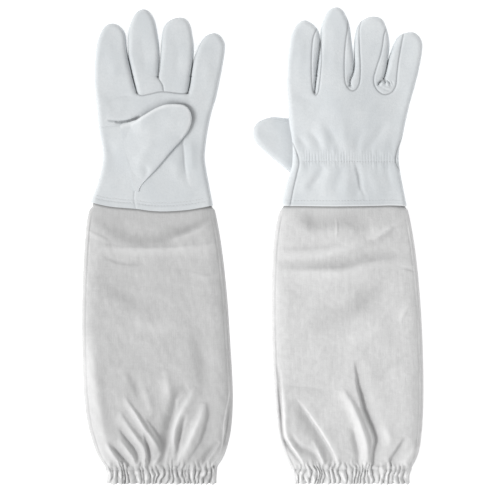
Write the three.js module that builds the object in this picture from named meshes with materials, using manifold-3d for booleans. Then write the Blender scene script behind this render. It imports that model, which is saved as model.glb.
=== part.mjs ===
// A pair of beekeeping gloves, lying flat side by side: goatskin hands sewn to long canvas sleeves with an
// elasticated arm opening. The left glove lies palm up with its thumb folded over the palm, and the right
// glove lies palm down with its thumb swung out from under the hand.
// Units are millimetres. Fingers point along +Y, and +Z is up from the surface that the gloves lie on.
import * as THREE from "three";
import { mergeVertices } from "three/addons/utils/BufferGeometryUtils.js";
import Module from "manifold-3d";

const wasm = await Module();
wasm.setup();

// Driving dimensions
const LEATHER = 1.2; // goatskin
const CANVAS = 1.0;
const HAND_DEPTH = 14; // thickness of the empty hand and fingers, palm face to back face
const THUMB_DEPTH = 12;
const CLEARANCE = 0.4; // between neighbouring pieces
const KNUCKLE_Y = 136; // the line across the glove where the fingers fold, measured from the leather hem
const CHAMFER = 5; // width of the turned-down edge where two panels meet in a side seam
const HEM_DEPTH = 9; // leather hem that is stitched down on the canvas
const STITCH_INSET = 0.9; // how far a stitch row pulls the leather in
const THREAD = 0.7;
const WRIST_ELASTIC = { low: 41, high: 49, left: -44, right: 40, depth: 1.2 };
const WRIST_BAND = { low: 38, high: 52 }; // the shirred stretch of the back panel
const CASING_LENGTH = 16; // folded canvas channel round the arm opening
const CHANNEL = 2.2; // clear depth of that channel
const ARM_ELASTIC = { width: 10, depth: 1.2 };
const FLATS = 6; // subdivisions across a wide panel

// Outlines in each glove's own frame: x = 0 near the middle of the palm and y = 0 at the leather hem.
// hand and sleeve rows are [y, left x, right x]; sleeve rows add the thickness of the empty sleeve.
// A finger is [y, left x, right x] at its shoulder and on its way there, and its tip [x, y].
// thumb rows are [upper x, upper y, lower x, lower y], from the root to the tip.
const GLOVES = {
  left: {
    palmUp: true,
    x: -103.2,
    hand: [
      [0, -68, 61],
      [19, -64, 58],
      [48, -55, 52.6],
      [78, -60, 55.8],
      [112, -63, 62],
      [136, -64, 69.5],
    ],
    fingers: {
      index: { rows: [[136, -63.8, -26.2], [154, -63, -27.5], [176, -60.5, -31]], tip: [-46.7, 191.6] },
      middle: { rows: [[136, -25, 4.2], [154, -26, 4.6], [185, -27.5, 2.4]], tip: [-11.8, 206.6] },
      ring: { rows: [[136, 5.8, 39.2], [154, 6, 40], [181, 8, 39.2]], tip: [24, 198] },
      little: { rows: [[136, 40.4, 69], [154, 41.6, 72], [166, 45, 73.6]], tip: [61.6, 181] },
    },
    thumb: [
      [-44, 88, -18, 12],
      [-20, 90, -7, 28.5],
      [1.5, 102.5, 14, 53.5],
      [18, 107, 31, 73],
      [29.5, 105.5, 37, 83],
      [36, 99.5, 38.5, 92],
    ],
    heel: [[-20, -1], [-18, 11], [-44, 88], [-80, 91], [-80, -1]],
    sleeve: [
      [0, -68, 61, 12.2],
      [30, -73, 67.5, 16],
      [99, -76.8, 75.8, 18],
      [200, -74.7, 82, 20],
      [234, -69.5, 80, 20],
      [262, -60.5, 73, 19],
      [277, -49, 64, 18],
      [293, -47, 62, 18],
    ],
  },
  right: {
    palmUp: false,
    x: 99.5,
    hand: [
      [0, -70, 63],
      [19, -65.8, 58.4],
      [48, -57.7, 53.9],
      [78, -60.3, 58.4],
      [112, -63.4, 65.9],
      [136, -64.7, 73.4],
    ],
    fingers: {
      index: { rows: [[136, -64.5, -33.2], [154, -63.7, -32.4], [179, -60.5, -31]], tip: [-46.8, 194.7] },
      middle: { rows: [[136, -32, 3.6], [154, -31.2, 5.2], [187, -28, 2.4]], tip: [-12.6, 208.4] },
      ring: { rows: [[136, 5, 41.2], [154, 6.4, 42.4], [182, 8, 41.6]], tip: [25.3, 199.5] },
      little: { rows: [[136, 42.6, 73], [154, 44.4, 76.8], [168, 48, 78.2]], tip: [65.3, 183.2] },
    },
    thumb: [
      [-44, 92, -18, 12],
      [-60, 93.5, -44.7, 21],
      [-76, 93.7, -68, 39],
      [-89, 92, -85.8, 54],
      [-96, 88.5, -95, 62.6],
      [-99.5, 82, -99.5, 75],
    ],
    heel: [[-20, -1], [-18, 11], [-44, 92], [-80, 95], [-80, -1]],
    sleeve: [
      [0, -70, 63, 12.2],
      [30, -77, 68.5, 16],
      [99, -80.5, 76.3, 18],
      [200, -77.4, 79.5, 20],
      [234, -74.2, 78.4, 20],
      [262, -67, 74, 19],
      [277, -58, 66, 18],
      [294, -55, 63, 18],
    ],
  },
};

// The palm-down hand lies over its own thumb: this is how far it is lifted there, fading towards the little
// finger, the fingertips and the sleeve.
const DRAPE = { lift: THUMB_DEPTH + CLEARANCE + 0.3, fromX: -14, toX: 60, topY: 120, tipY: 196, endY: -130 };

const colours = {
  leather: new THREE.MeshStandardMaterial({ color: 0xdcdfe2, roughness: 0.62, metalness: 0 }),
  canvas: new THREE.MeshStandardMaterial({ color: 0xd2d2d2, roughness: 0.9, metalness: 0 }),
  elastic: new THREE.MeshStandardMaterial({ color: 0xf0f0ee, roughness: 0.8, metalness: 0 }),
  thread: new THREE.MeshStandardMaterial({ color: 0xe2e4e6, roughness: 0.7, metalness: 0 }),
};

const lerp = THREE.MathUtils.lerp;
const clamp = THREE.MathUtils.clamp;

// The rows of a table are [y, a, b, ...]: the values at y, between its two nearest rows.
function rowAt(rows, y) {
  let k = 0;
  while (k < rows.length - 2 && y > rows[k + 1][0]) k += 1;
  const share = (y - rows[k][0]) / (rows[k + 1][0] - rows[k][0]);
  return rows[k].slice(1).map((value, i) => lerp(value, rows[k + 1][i + 1], share));
}

function liftAt(glove, x, y) {
  if (glove.palmUp) return 0;
  const across = clamp((DRAPE.toX - x) / (DRAPE.toX - DRAPE.fromX), 0, 1);
  const above = clamp((DRAPE.tipY - y) / (DRAPE.tipY - DRAPE.topY), 0, 1);
  const below = clamp((y - DRAPE.endY) / -DRAPE.endY, 0, 1);
  return DRAPE.lift * across * above * below;
}

// The profile across a panel, from its left edge to its right edge, as [x, z] on its outer and inner faces.
// crown is the height of its outer face, seam the height where its turned-down edges stop, and skirts says
// which of its two edges are turned down.
function panelSection(left, right, crown, seam, depth, skirts, flats) {
  const into = Math.sign(seam - crown);
  const turn = Math.min(CHAMFER, (right - left) / 4);
  const from = left + (skirts[0] ? turn : 0);
  const to = right - (skirts[1] ? turn : 0);
  const outer = [];
  const inner = [];
  if (skirts[0]) {
    outer.push([left, seam]);
    inner.push([left + 1.3 * depth, seam]);
  }
  for (let i = 0; i <= flats; i += 1) {
    const ease = (skirts[0] ? 0.5 * depth : 0) * (1 - i / flats) - (skirts[1] ? 0.5 * depth : 0) * (i / flats);
    const x = lerp(from, to, i / flats);
    outer.push([x, crown]);
    inner.push([x + ease, crown + into * depth]);
  }
  if (skirts[1]) {
    outer.push([right, seam]);
    inner.push([right - 1.3 * depth, seam]);
  }
  return { outer, inner };
}

// Turns vertices and triangles into a geometry whose faces point out.
function closedGeometry(points, triangles) {
  let volume = 0;
  for (const [a, b, c] of triangles) volume += points[a].dot(points[b].clone().cross(points[c]));
  const facing = volume < 0 ? triangles.map(([a, b, c]) => [a, c, b]) : triangles;
  const geometry = new THREE.BufferGeometry().setFromPoints(points);
  return geometry.setIndex(facing.flat());
}

// A sheet with a thickness: outer and inner are grids of points, [station][across].
function sheetGeometry(outer, inner) {
  const across = outer[0].length;
  const half = outer.length * across;
  const points = [...outer.flat(), ...inner.flat()];
  const triangles = [];
  const quad = (a, b, c, d) => triangles.push([a, b, c], [a, c, d]);
  const at = (k, i) => k * across + i;
  const last = outer.length - 1;
  for (let k = 0; k < last; k += 1) {
    for (let i = 0; i < across - 1; i += 1) {
      quad(at(k, i), at(k, i + 1), at(k + 1, i + 1), at(k + 1, i));
      quad(half + at(k, i), half + at(k + 1, i), half + at(k + 1, i + 1), half + at(k, i + 1));
    }
    quad(at(k, 0), at(k + 1, 0), half + at(k + 1, 0), half + at(k, 0));
    const end = across - 1;
    quad(at(k, end), half + at(k, end), half + at(k + 1, end), at(k + 1, end));
  }
  for (let i = 0; i < across - 1; i += 1) {
    quad(at(0, i), half + at(0, i), half + at(0, i + 1), at(0, i + 1));
    quad(at(last, i), at(last, i + 1), half + at(last, i + 1), half + at(last, i));
  }
  return closedGeometry(points, triangles);
}

// A closed band: outer and inner are pairs of rings, [end][round].
function bandGeometry(outer, inner) {
  const round = outer[0].length;
  const points = [...outer.flat(), ...inner.flat()];
  const triangles = [];
  const quad = (a, b, c, d) => triangles.push([a, b, c], [a, c, d]);
  for (let i = 0; i < round; i += 1) {
    const j = (i + 1) % round;
    quad(i, j, round + j, round + i);
    quad(2 * round + i, 3 * round + i, 3 * round + j, 2 * round + j);
    quad(i, 2 * round + i, 2 * round + j, j);
    quad(round + i, round + j, 3 * round + j, 3 * round + i);
  }
  return closedGeometry(points, triangles);
}

function toSolid(geometry) {
  const bare = geometry.clone();
  for (const name of ["normal", "uv"]) bare.deleteAttribute(name);
  const merged = mergeVertices(bare, 1e-4);
  return new wasm.Manifold(
    new wasm.Mesh({
      numProp: 3,
      vertProperties: new Float32Array(merged.attributes.position.array),
      triVerts: new Uint32Array(merged.index.array),
    }),
  );
}

function fromSolid(solid) {
  const mesh = solid.getMesh();
  return new THREE.BufferGeometry()
    .setAttribute("position", new THREE.BufferAttribute(mesh.vertProperties, 3))
    .setIndex(new THREE.BufferAttribute(mesh.triVerts, 1));
}

// A prism over a flat outline, tall enough to cut right through a glove.
function cutter(outline) {
  const shape = new THREE.Shape(outline.map(([x, y]) => new THREE.Vector2(x, y)));
  const geometry = new THREE.ExtrudeGeometry(shape, { depth: 120, bevelEnabled: false });
  geometry.translate(0, 0, -40);
  return toSolid(geometry);
}

function addPiece(group, name, geometry, material) {
  geometry.computeVertexNormals();
  const mesh = new THREE.Mesh(geometry, material);
  mesh.name = name;
  group.add(mesh);
}

const seamOf = (glove, face, middle) => middle + (CLEARANCE / 2) * Math.sign(face - middle);

// Palm, heel and back panels, from the hem to the knuckle line.
function handHalf(glove, isPalm) {
  const outer = [];
  const inner = [];
  for (const y of [0, HEM_DEPTH, HEM_DEPTH + 3, 26, 38, 52, 56, 78, 112, KNUCKLE_Y - CLEARANCE]) {
    const [left, right] = rowAt(glove.hand, y);
    const shirred = !isPalm && y >= WRIST_BAND.low && y <= WRIST_BAND.high;
    const inset = y <= HEM_DEPTH || shirred ? STITCH_INSET : 0;
    const face = isPalm === glove.palmUp ? HAND_DEPTH - inset : inset;
    const seam = seamOf(glove, face, HAND_DEPTH / 2);
    const section = panelSection(left, right, face, seam, LEATHER, [true, true], FLATS);
    const place = ([x, z]) => new THREE.Vector3(x, y, z + liftAt(glove, x, y));
    outer.push(section.outer.map(place));
    inner.push(section.inner.map(place));
  }
  return sheetGeometry(outer, inner);
}

// The slot in the palm that the thumb opens into, along the thumb's root.
function thumbHole(glove) {
  const [upperX, upperY, lowerX, lowerY] = glove.thumb[0];
  const root = new THREE.Vector2(lowerX - upperX, lowerY - upperY);
  const along = root.clone().normalize();
  const side = new THREE.Vector2(-along.y, along.x).multiplyScalar(5.5);
  const start = new THREE.Vector2(upperX, upperY).addScaledVector(along, 12);
  const end = new THREE.Vector2(lowerX, lowerY).addScaledVector(along, -14);
  const corners = [start.clone().add(side), end.clone().add(side), end.clone().sub(side), start.clone().sub(side)];
  return cutter(corners.map((corner) => [corner.x, corner.y]));
}

function addHand(group, side, glove) {
  const palm = toSolid(handHalf(glove, true));
  const heel = cutter(glove.heel);
  const notch = cutter(glove.heel.map(([x, y]) => [x > -80 ? x + CLEARANCE : x, y > 60 ? y + CLEARANCE : y]));
  const hole = thumbHole(glove);
  addPiece(group, `${side}_palm_panel`, fromSolid(palm.subtract(notch).subtract(hole)), colours.leather);
  addPiece(group, `${side}_heel_panel`, fromSolid(palm.intersect(heel).subtract(hole)), colours.leather);
  addPiece(group, `${side}_back_panel`, handHalf(glove, false), colours.leather);
  addWristElastic(group, side, glove);
  addHemThreads(group, side, glove);
}

// The band of elastic sewn inside the back of the wrist, and the zigzag thread that holds it.
function addWristElastic(group, side, glove) {
  const into = glove.palmUp ? 1 : -1;
  const face = glove.palmUp ? STITCH_INSET : HAND_DEPTH - STITCH_INSET;
  const { low, high, left, right, depth } = WRIST_ELASTIC;
  const height = (x, y, offset) => face + into * offset + liftAt(glove, x, y);
  const grid = (offset) =>
    Array.from({ length: FLATS + 1 }, (_, i) => {
      const x = lerp(left, right, i / FLATS);
      return [low, high].map((y) => new THREE.Vector3(x, y, height(x, y, offset)));
    });
  const below = LEATHER + 2 * CLEARANCE;
  const elastic = sheetGeometry(grid(below), grid(below + depth));
  addPiece(group, `${side}_wrist_elastic`, elastic, colours.elastic);
  const steps = 28;
  const zigzag = (offset) =>
    Array.from({ length: steps + 1 }, (_, i) => {
      const x = lerp(left + 2, right - 2, i / steps);
      const middle = lerp(low, high, i % 2 ? 0.75 : 0.25);
      return [-THREAD, THREAD].map((dy) => new THREE.Vector3(x, middle + dy, height(x, middle + dy, offset)));
    });
  const thread = sheetGeometry(zigzag(-0.85), zigzag(-0.3));
  addPiece(group, `${side}_wrist_thread`, thread, colours.thread);
}

// A ring round the hand at y, standing off its outer face by offset.
function handRing(glove, y, offset) {
  const [left, right] = rowAt(glove.hand, y);
  const high = HAND_DEPTH - STITCH_INSET + offset;
  const low = STITCH_INSET - offset;
  const middle = HAND_DEPTH / 2;
  const profile = (crown) => panelSection(left - offset, right + offset, crown, middle, LEATHER, [true, true], FLATS);
  const upper = profile(high).outer;
  const lower = profile(low).outer.slice(1, -1).reverse();
  return [...upper, ...lower].map(([x, z]) => new THREE.Vector3(x, y, z + liftAt(glove, x, y)));
}

function addHemThreads(group, side, glove) {
  for (const [name, y] of [["lower", 2.5], ["upper", 6.5]]) {
    const ring = (offset) => [handRing(glove, y, offset), handRing(glove, y + THREAD, offset)];
    addPiece(group, `${side}_hem_thread_${name}`, bandGeometry(ring(0.85), ring(0.3)), colours.thread);
  }
}

// Stations along a finger: straight rows up to its shoulder, then a round cap down to its tip.
function fingerStations(finger) {
  const rows = finger.rows;
  const [shoulderY, left, right] = rows.at(-1);
  const [tipX, tipY] = finger.tip;
  const stations = rows.slice(0, -1).map(([y, l, r]) => ({ y, left: l, right: r, share: 1 }));
  for (const degrees of [0, 35, 58, 80]) {
    const angle = THREE.MathUtils.degToRad(degrees);
    const forward = Math.sin(angle);
    const middle = lerp((left + right) / 2, tipX, forward);
    const half = ((right - left) / 2) * Math.cos(angle) ** 0.8;
    const y = lerp(shoulderY, tipY, forward);
    stations.push({ y, left: middle - half, right: middle + half, share: Math.cos(angle) });
  }
  stations[0].y += CLEARANCE / 2;
  return stations;
}

function addFinger(group, side, glove, name) {
  const finger = glove.fingers[name];
  const stations = fingerStations(finger);
  const middleX = (finger.rows[0][1] + finger.rows[0][2]) / 2;
  const middle = HAND_DEPTH / 2;
  // The outer side of the first and last finger is a plain side seam; every other side has a fourchette.
  const skirts = [name === "index", name === "little"];
  const height = (station) => Math.max(middle * station.share, LEATHER + CLEARANCE);
  const place = (station) => ([x, z]) => new THREE.Vector3(x, station.y, z + liftAt(glove, middleX, station.y));
  const panel = (isPalm) => {
    const up = isPalm === glove.palmUp ? 1 : -1;
    const sections = stations.map((station) => {
      const face = middle + up * height(station);
      const seam = seamOf(glove, face, middle);
      return panelSection(station.left, station.right, face, seam, LEATHER, skirts, 2);
    });
    return sheetGeometry(
      sections.map((section, k) => section.outer.map(place(stations[k]))),
      sections.map((section, k) => section.inner.map(place(stations[k]))),
    );
  };
  addPiece(group, `${side}_${name}_front`, panel(true), colours.leather);
  addPiece(group, `${side}_${name}_back`, panel(false), colours.leather);
  for (const [edge, inward, label] of [["left", 1, "thumb_side"], ["right", -1, "little_side"]]) {
    if (skirts[edge === "left" ? 0 : 1]) continue;
    const walls = stations.filter((station) => station.share > 0.5);
    const wall = (offset) =>
      walls.map((station) => {
        const reach = height(station) - LEATHER - CLEARANCE;
        const x = station[edge] + inward * offset;
        return [middle - reach, middle + reach].map((z) => place(station)([x, z]));
      });
    addPiece(group, `${side}_${name}_fourchette_${label}`, sheetGeometry(wall(0), wall(LEATHER)), colours.leather);
  }
}

// The thumb lies on the palm face of the hand, open at its root. Its outer panel faces up on both gloves: the left
// thumb is folded over the palm, and the right one is swung out from under the hand.
function addThumb(group, side, glove) {
  const low = glove.palmUp ? HAND_DEPTH + CLEARANCE : 0;
  const middle = low + THUMB_DEPTH / 2;
  const shares = [1, 1, 1, 1, 0.72, 0.3];
  const panel = (up) => {
    const outer = [];
    const inner = [];
    glove.thumb.forEach(([upperX, upperY, lowerX, lowerY], k) => {
      const from = new THREE.Vector2(lowerX, lowerY);
      const across = new THREE.Vector2(upperX, upperY).sub(from);
      const width = across.length();
      across.normalize();
      const face = middle + up * Math.max((THUMB_DEPTH / 2) * shares[k], LEATHER + CLEARANCE);
      const section = panelSection(0, width, face, seamOf(glove, face, middle), LEATHER, [true, true], 3);
      const place = ([s, z]) => {
        const at = from.clone().addScaledVector(across, s);
        return new THREE.Vector3(at.x, at.y, z);
      };
      outer.push(section.outer.map(place));
      inner.push(section.inner.map(place));
    });
    return sheetGeometry(outer, inner);
  };
  addPiece(group, `${side}_thumb_outer`, panel(1), colours.leather);
  addPiece(group, `${side}_thumb_inner`, panel(-1), colours.leather);
}

// A sleeve panel's layer at a depth below its outer face, over the given distances from the leather hem.
function sleeveLayer(glove, isPalm, distances, depth, thickness) {
  const outer = [];
  const inner = [];
  for (const distance of distances) {
    const [left, right, full] = rowAt(glove.sleeve, distance);
    const rise = (HAND_DEPTH - rowAt(glove.sleeve, 0)[2]) / 2 * clamp(1 - distance / 30, 0, 1);
    const upper = isPalm === glove.palmUp;
    const face = rise + (upper ? full - depth : depth);
    const seam = seamOf(glove, face, rise + full / 2);
    const inset = 1.3 * depth;
    const skirts = [true, true];
    const section = panelSection(left + inset, right - inset, face, seam, thickness, skirts, FLATS);
    const place = ([x, z]) => new THREE.Vector3(x, -distance, z + liftAt(glove, x, -distance));
    outer.push(section.outer.map(place));
    inner.push(section.inner.map(place));
  }
  return toSolid(sheetGeometry(outer, inner));
}

function addSleeve(group, side, glove) {
  const end = glove.sleeve.at(-1)[0];
  const rows = glove.sleeve.map((row) => row[0]);
  const casing = [end - CASING_LENGTH, end - 0.5];
  const fold = [end - CANVAS, end];
  for (const [name, isPalm] of [["palm", true], ["back", false]]) {
    const outside = sleeveLayer(glove, isPalm, [CLEARANCE, ...rows.slice(1)], 0, CANVAS);
    const inside = sleeveLayer(glove, isPalm, casing, CANVAS + CHANNEL, CANVAS);
    const bottom = sleeveLayer(glove, isPalm, fold, 0, 2 * CANVAS + CHANNEL);
    const panel = outside.add(inside).add(bottom);
    addPiece(group, `${side}_sleeve_${name}_panel`, fromSolid(panel), colours.canvas);
  }
  addArmElastic(group, side, glove, end);
  addCasingThread(group, side, glove, end);
}

// A ring round the sleeve at a distance from the hem, inset below its outer face.
function sleeveRing(glove, distance, inset) {
  const [left, right, full] = rowAt(glove.sleeve, distance);
  const profile = (crown) => {
    const reach = 1.3 * inset;
    return panelSection(left + reach, right - reach, crown, full / 2, CANVAS, [true, true], FLATS).outer;
  };
  const ring = [...profile(full - inset), ...profile(inset).slice(1, -1).reverse()];
  return ring.map(([x, z]) => new THREE.Vector3(x, -distance, z + liftAt(glove, x, -distance)));
}

function addArmElastic(group, side, glove, end) {
  const high = end - CASING_LENGTH + 3;
  const inset = CANVAS + (CHANNEL - ARM_ELASTIC.depth) / 2;
  const ring = (depth) => [sleeveRing(glove, high, depth), sleeveRing(glove, high + ARM_ELASTIC.width, depth)];
  const elastic = bandGeometry(ring(inset), ring(inset + ARM_ELASTIC.depth));
  addPiece(group, `${side}_arm_elastic`, elastic, colours.elastic);
}

// The stitch row that closes the channel, on the inner face of the casing.
function addCasingThread(group, side, glove, end) {
  const y = end - CASING_LENGTH + 1;
  const face = 2 * CANVAS + CHANNEL + 0.35;
  const ring = (depth) => [sleeveRing(glove, y, depth), sleeveRing(glove, y + THREAD, depth)];
  addPiece(group, `${side}_casing_thread`, bandGeometry(ring(face), ring(face + THREAD)), colours.thread);
}

const gloves = new THREE.Group();
for (const [side, glove] of Object.entries(GLOVES)) {
  const group = new THREE.Group();
  addHand(group, side, glove);
  for (const name of ["index", "middle", "ring", "little"]) addFinger(group, side, glove, name);
  addThumb(group, side, glove);
  addSleeve(group, side, glove);
  group.position.x = glove.x;
  gloves.add(group);
}

// The origin is the middle of the pair's footprint, on the surface that it lies on.
gloves.updateMatrixWorld(true);
const extent = new THREE.Box3().setFromObject(gloves, true);
const middle = extent.getCenter(new THREE.Vector3());
gloves.position.set(-middle.x, -middle.y, -extent.min.z);

export default gloves;
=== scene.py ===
"""The looks of a pair of beekeeping gloves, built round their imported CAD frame.

Each glove is a goatskin hand sewn to a canvas sleeve. The left glove lies palm up with its thumb over the
palm, and the right glove lies palm down on its own thumb. Outlines are in millimetres in each glove's own
frame: x = 0 near the middle of the palm, y = 0 near the leather hem, and z = 0 on the surface under them.
"""
import math

import bpy
import numpy as np
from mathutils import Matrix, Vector
from mathutils.geometry import delaunay_2d_cdt


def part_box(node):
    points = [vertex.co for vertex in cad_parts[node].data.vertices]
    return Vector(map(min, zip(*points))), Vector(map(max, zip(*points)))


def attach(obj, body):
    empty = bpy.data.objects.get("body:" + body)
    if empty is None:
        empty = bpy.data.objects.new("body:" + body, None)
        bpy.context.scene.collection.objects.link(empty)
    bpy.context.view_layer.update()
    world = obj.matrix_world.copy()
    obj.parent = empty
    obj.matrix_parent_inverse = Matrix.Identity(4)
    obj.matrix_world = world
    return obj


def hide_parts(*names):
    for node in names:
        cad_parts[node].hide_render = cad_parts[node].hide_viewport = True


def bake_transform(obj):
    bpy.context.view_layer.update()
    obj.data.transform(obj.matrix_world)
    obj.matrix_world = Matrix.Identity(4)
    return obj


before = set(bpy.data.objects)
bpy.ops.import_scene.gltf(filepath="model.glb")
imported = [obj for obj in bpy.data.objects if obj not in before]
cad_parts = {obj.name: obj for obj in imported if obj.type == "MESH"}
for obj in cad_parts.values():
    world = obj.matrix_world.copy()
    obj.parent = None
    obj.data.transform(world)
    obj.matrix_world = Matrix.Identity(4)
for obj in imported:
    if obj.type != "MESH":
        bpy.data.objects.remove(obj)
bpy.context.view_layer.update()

FINGERS = ("index", "middle", "ring", "little")

# Driving dimensions, in millimetres
LEATHER = 1.0
CANVAS = 0.8
ELASTIC = 0.9
SEAM_Z = 5.0  # height of the side seam round an empty glove
WEB = (3.5, 5.0)  # how far the leather is drawn up where two fingers meet, and how near to there
HAND_TOP = 13.2
HAND_ROLL = 5.9  # how far in from its outline the upper leather is still rolling over
UNDER_ROLL = 5.0
SLIT = 0.04  # half the gap between two fingers that touch
KNUCKLE = 136.0  # the line across the glove where the fingers fold
BEND = 26.0  # length of glove past the knuckle, the second place given to a finger's bend
GROOVE = (1.0, 0.95)  # depth and half width of the groove along a seam
FLAT_SEAM = 0.45  # how much of that groove the two seams of the heel have
HEM_GROOVE = (0.42, 0.75)  # the same along a row of the hem's stitches
HEM_EDGE = 0.5  # how much thicker the turned edge beyond them is
THUMB_RISE = (0.5, 2.1, 3.2)  # clearance, seam and crown of the folded thumb, each above the one before
THUMB_ROLL = 3.8  # how far in from its outline the folded thumb is still rolling over
SWUNG_THUMB = (4.6, 11.2)  # height of the seam and of the crown of the thumb that is swung out
ROOT_LIFT = 12.7  # how far the right hand is lifted by the thumb under it
LIFT_FADE = {"right": (64, 82), "up": (200, 96), "down": (-138, 146)}  # its ends and the slopes there
STEP = 1.5  # spacing of the points along an outline
EDGE_RINGS = (0.45, 1.1, 2.1)  # how far inside the outline its extra rings of points are
EDGE_CLEAR = 2.9  # how far inside the outline the even points start
MESH = 1.9  # spacing of the even points
FINE_MESH = 0.85  # the same where the leather has creases
HEM_MESH = 1.3  # the same along the stitches of the hem
HAND_SPAN = (-72, 80)  # from left to right, wider than either hand
THUMB_MESH = 1.7
THUMB_FLAT = 200  # how far the thumb's place on the flat map is from the hand's
SHIRR = {"y": 49.5, "half": 7.0, "pitch": 2.9, "height": 0.27}
SHIRR_MESH = {"x": 0.72, "y": 1.6, "low": 38.2, "high": 59.0, "clear": (37, 60)}
SLEEVE_TOP = 13.5
SLEEVE_ROLL = 19.0
SLEEVE_MESH = {"up": (180, 1.25), "low": (120, 1.9)}  # columns, and the spacing of the rows
UNDER_LEATHER = 9.0  # how far up inside the hand the canvas starts
HEM_TURN = ((0.7, 0.5), (1.0, 1.3), (1.0, 2.1), (0.7, 2.9))  # how far the folded hem's turn goes out and in
HEM_THICKNESS = 3.4
FOLDS = 1.42  # how much deeper the canvas folds are than the strokes say
CASING = {"top": -276.5, "end": -291.0, "pleat": 4.9, "height": 4.2}
ARM_BAND = {"margin": 3.0, "below_row": 2.5, "depth": 1.15}  # the elastic's place in the arm hem
WRIST_BAND = {"left": -44.0, "right": 40.0, "half": 4.0, "depth": 1.25}
BAND_MESH = {"x": 0.8, "rows": 6, "columns": 120}
WRIST_ROW = 46.3  # y of the stitches that hold the wrist elastic
STITCHES = {"hem": (3.3, 2.5), "wrist": (2.9, 2.1), "casing": (2.9, 2.2)}  # pitch and length
STITCH_RADIUS = 0.3
STITCH_RISE = 0.12  # how far a stitch's middle is above the cloth
THUMB_BEND = (-3.0, 14.0)  # two places given to the thumb's bend, measured from its root
SLEEVE_BEND = (-4.0, -60.0)  # the same for the sleeve's bend, from the hem

# The room, in metres and watts
CAMERA = {"x": -0.00263, "y": -0.00316, "width": 0.5263, "height": 2.5}
WORLD_LIGHT = (0.9, 0.4)  # strength at the horizon and overhead
KEY_LIGHT = {"direction": (-1.0, -0.25, 0.95), "distance": 7.0, "size": 2.2, "power": 300}
FLOOR = {"glow": 0.5, "half": 12000, "drop": 0.3}  # half its side and its drop are in millimetres

# Colours are linear RGB.
HIDE_PAINTED_LIGHT = {"left": 0.99, "right": 1.085}  # how light each glove's leather is painted; the right glove's is painted lighter, standing in for light
LEATHER_COLOURS = [  # dark and light, mottling, painted shade for crevices and painted highlight for edges
    (0.66, 0.69, 0.71), (0.71, 0.735, 0.75), (0.62, 0.65, 0.67), (0.2, 0.205, 0.215), (0.86, 0.88, 0.89),
]
CANVAS_GREYS = {  # dark and light threads, painted shade in crevices and painted highlight on crests; the back greys are partly painted lighter for the light on the right glove
    "palm": (0.58, 0.66, 0.32, 0.86),
    "back": (0.69, 0.79, 0.36, 0.93),
}
CANVAS_MOST_SHADE = 2.2  # the most painted shade on canvas, in the shadow where it goes under the leather
SHADES = {  # how much shade is painted, a painted highlight where below 0, and how far it reaches
    "hem": (-0.9, 1.2), "fingers": (0.9, 1.3), "thumb": (0.45, 2.6), "by thumb": (0.62, 9),
}
ELASTIC_COLOURS = (0.62, 0.62, 0.6), (0.82, 0.82, 0.8)
THREAD_COLOURS = (0.6, 0.61, 0.62), (0.78, 0.79, 0.8)
FLOOR_COLOURS = (0.93, 0.935, 0.94), (0.95, 0.95, 0.95)

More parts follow.
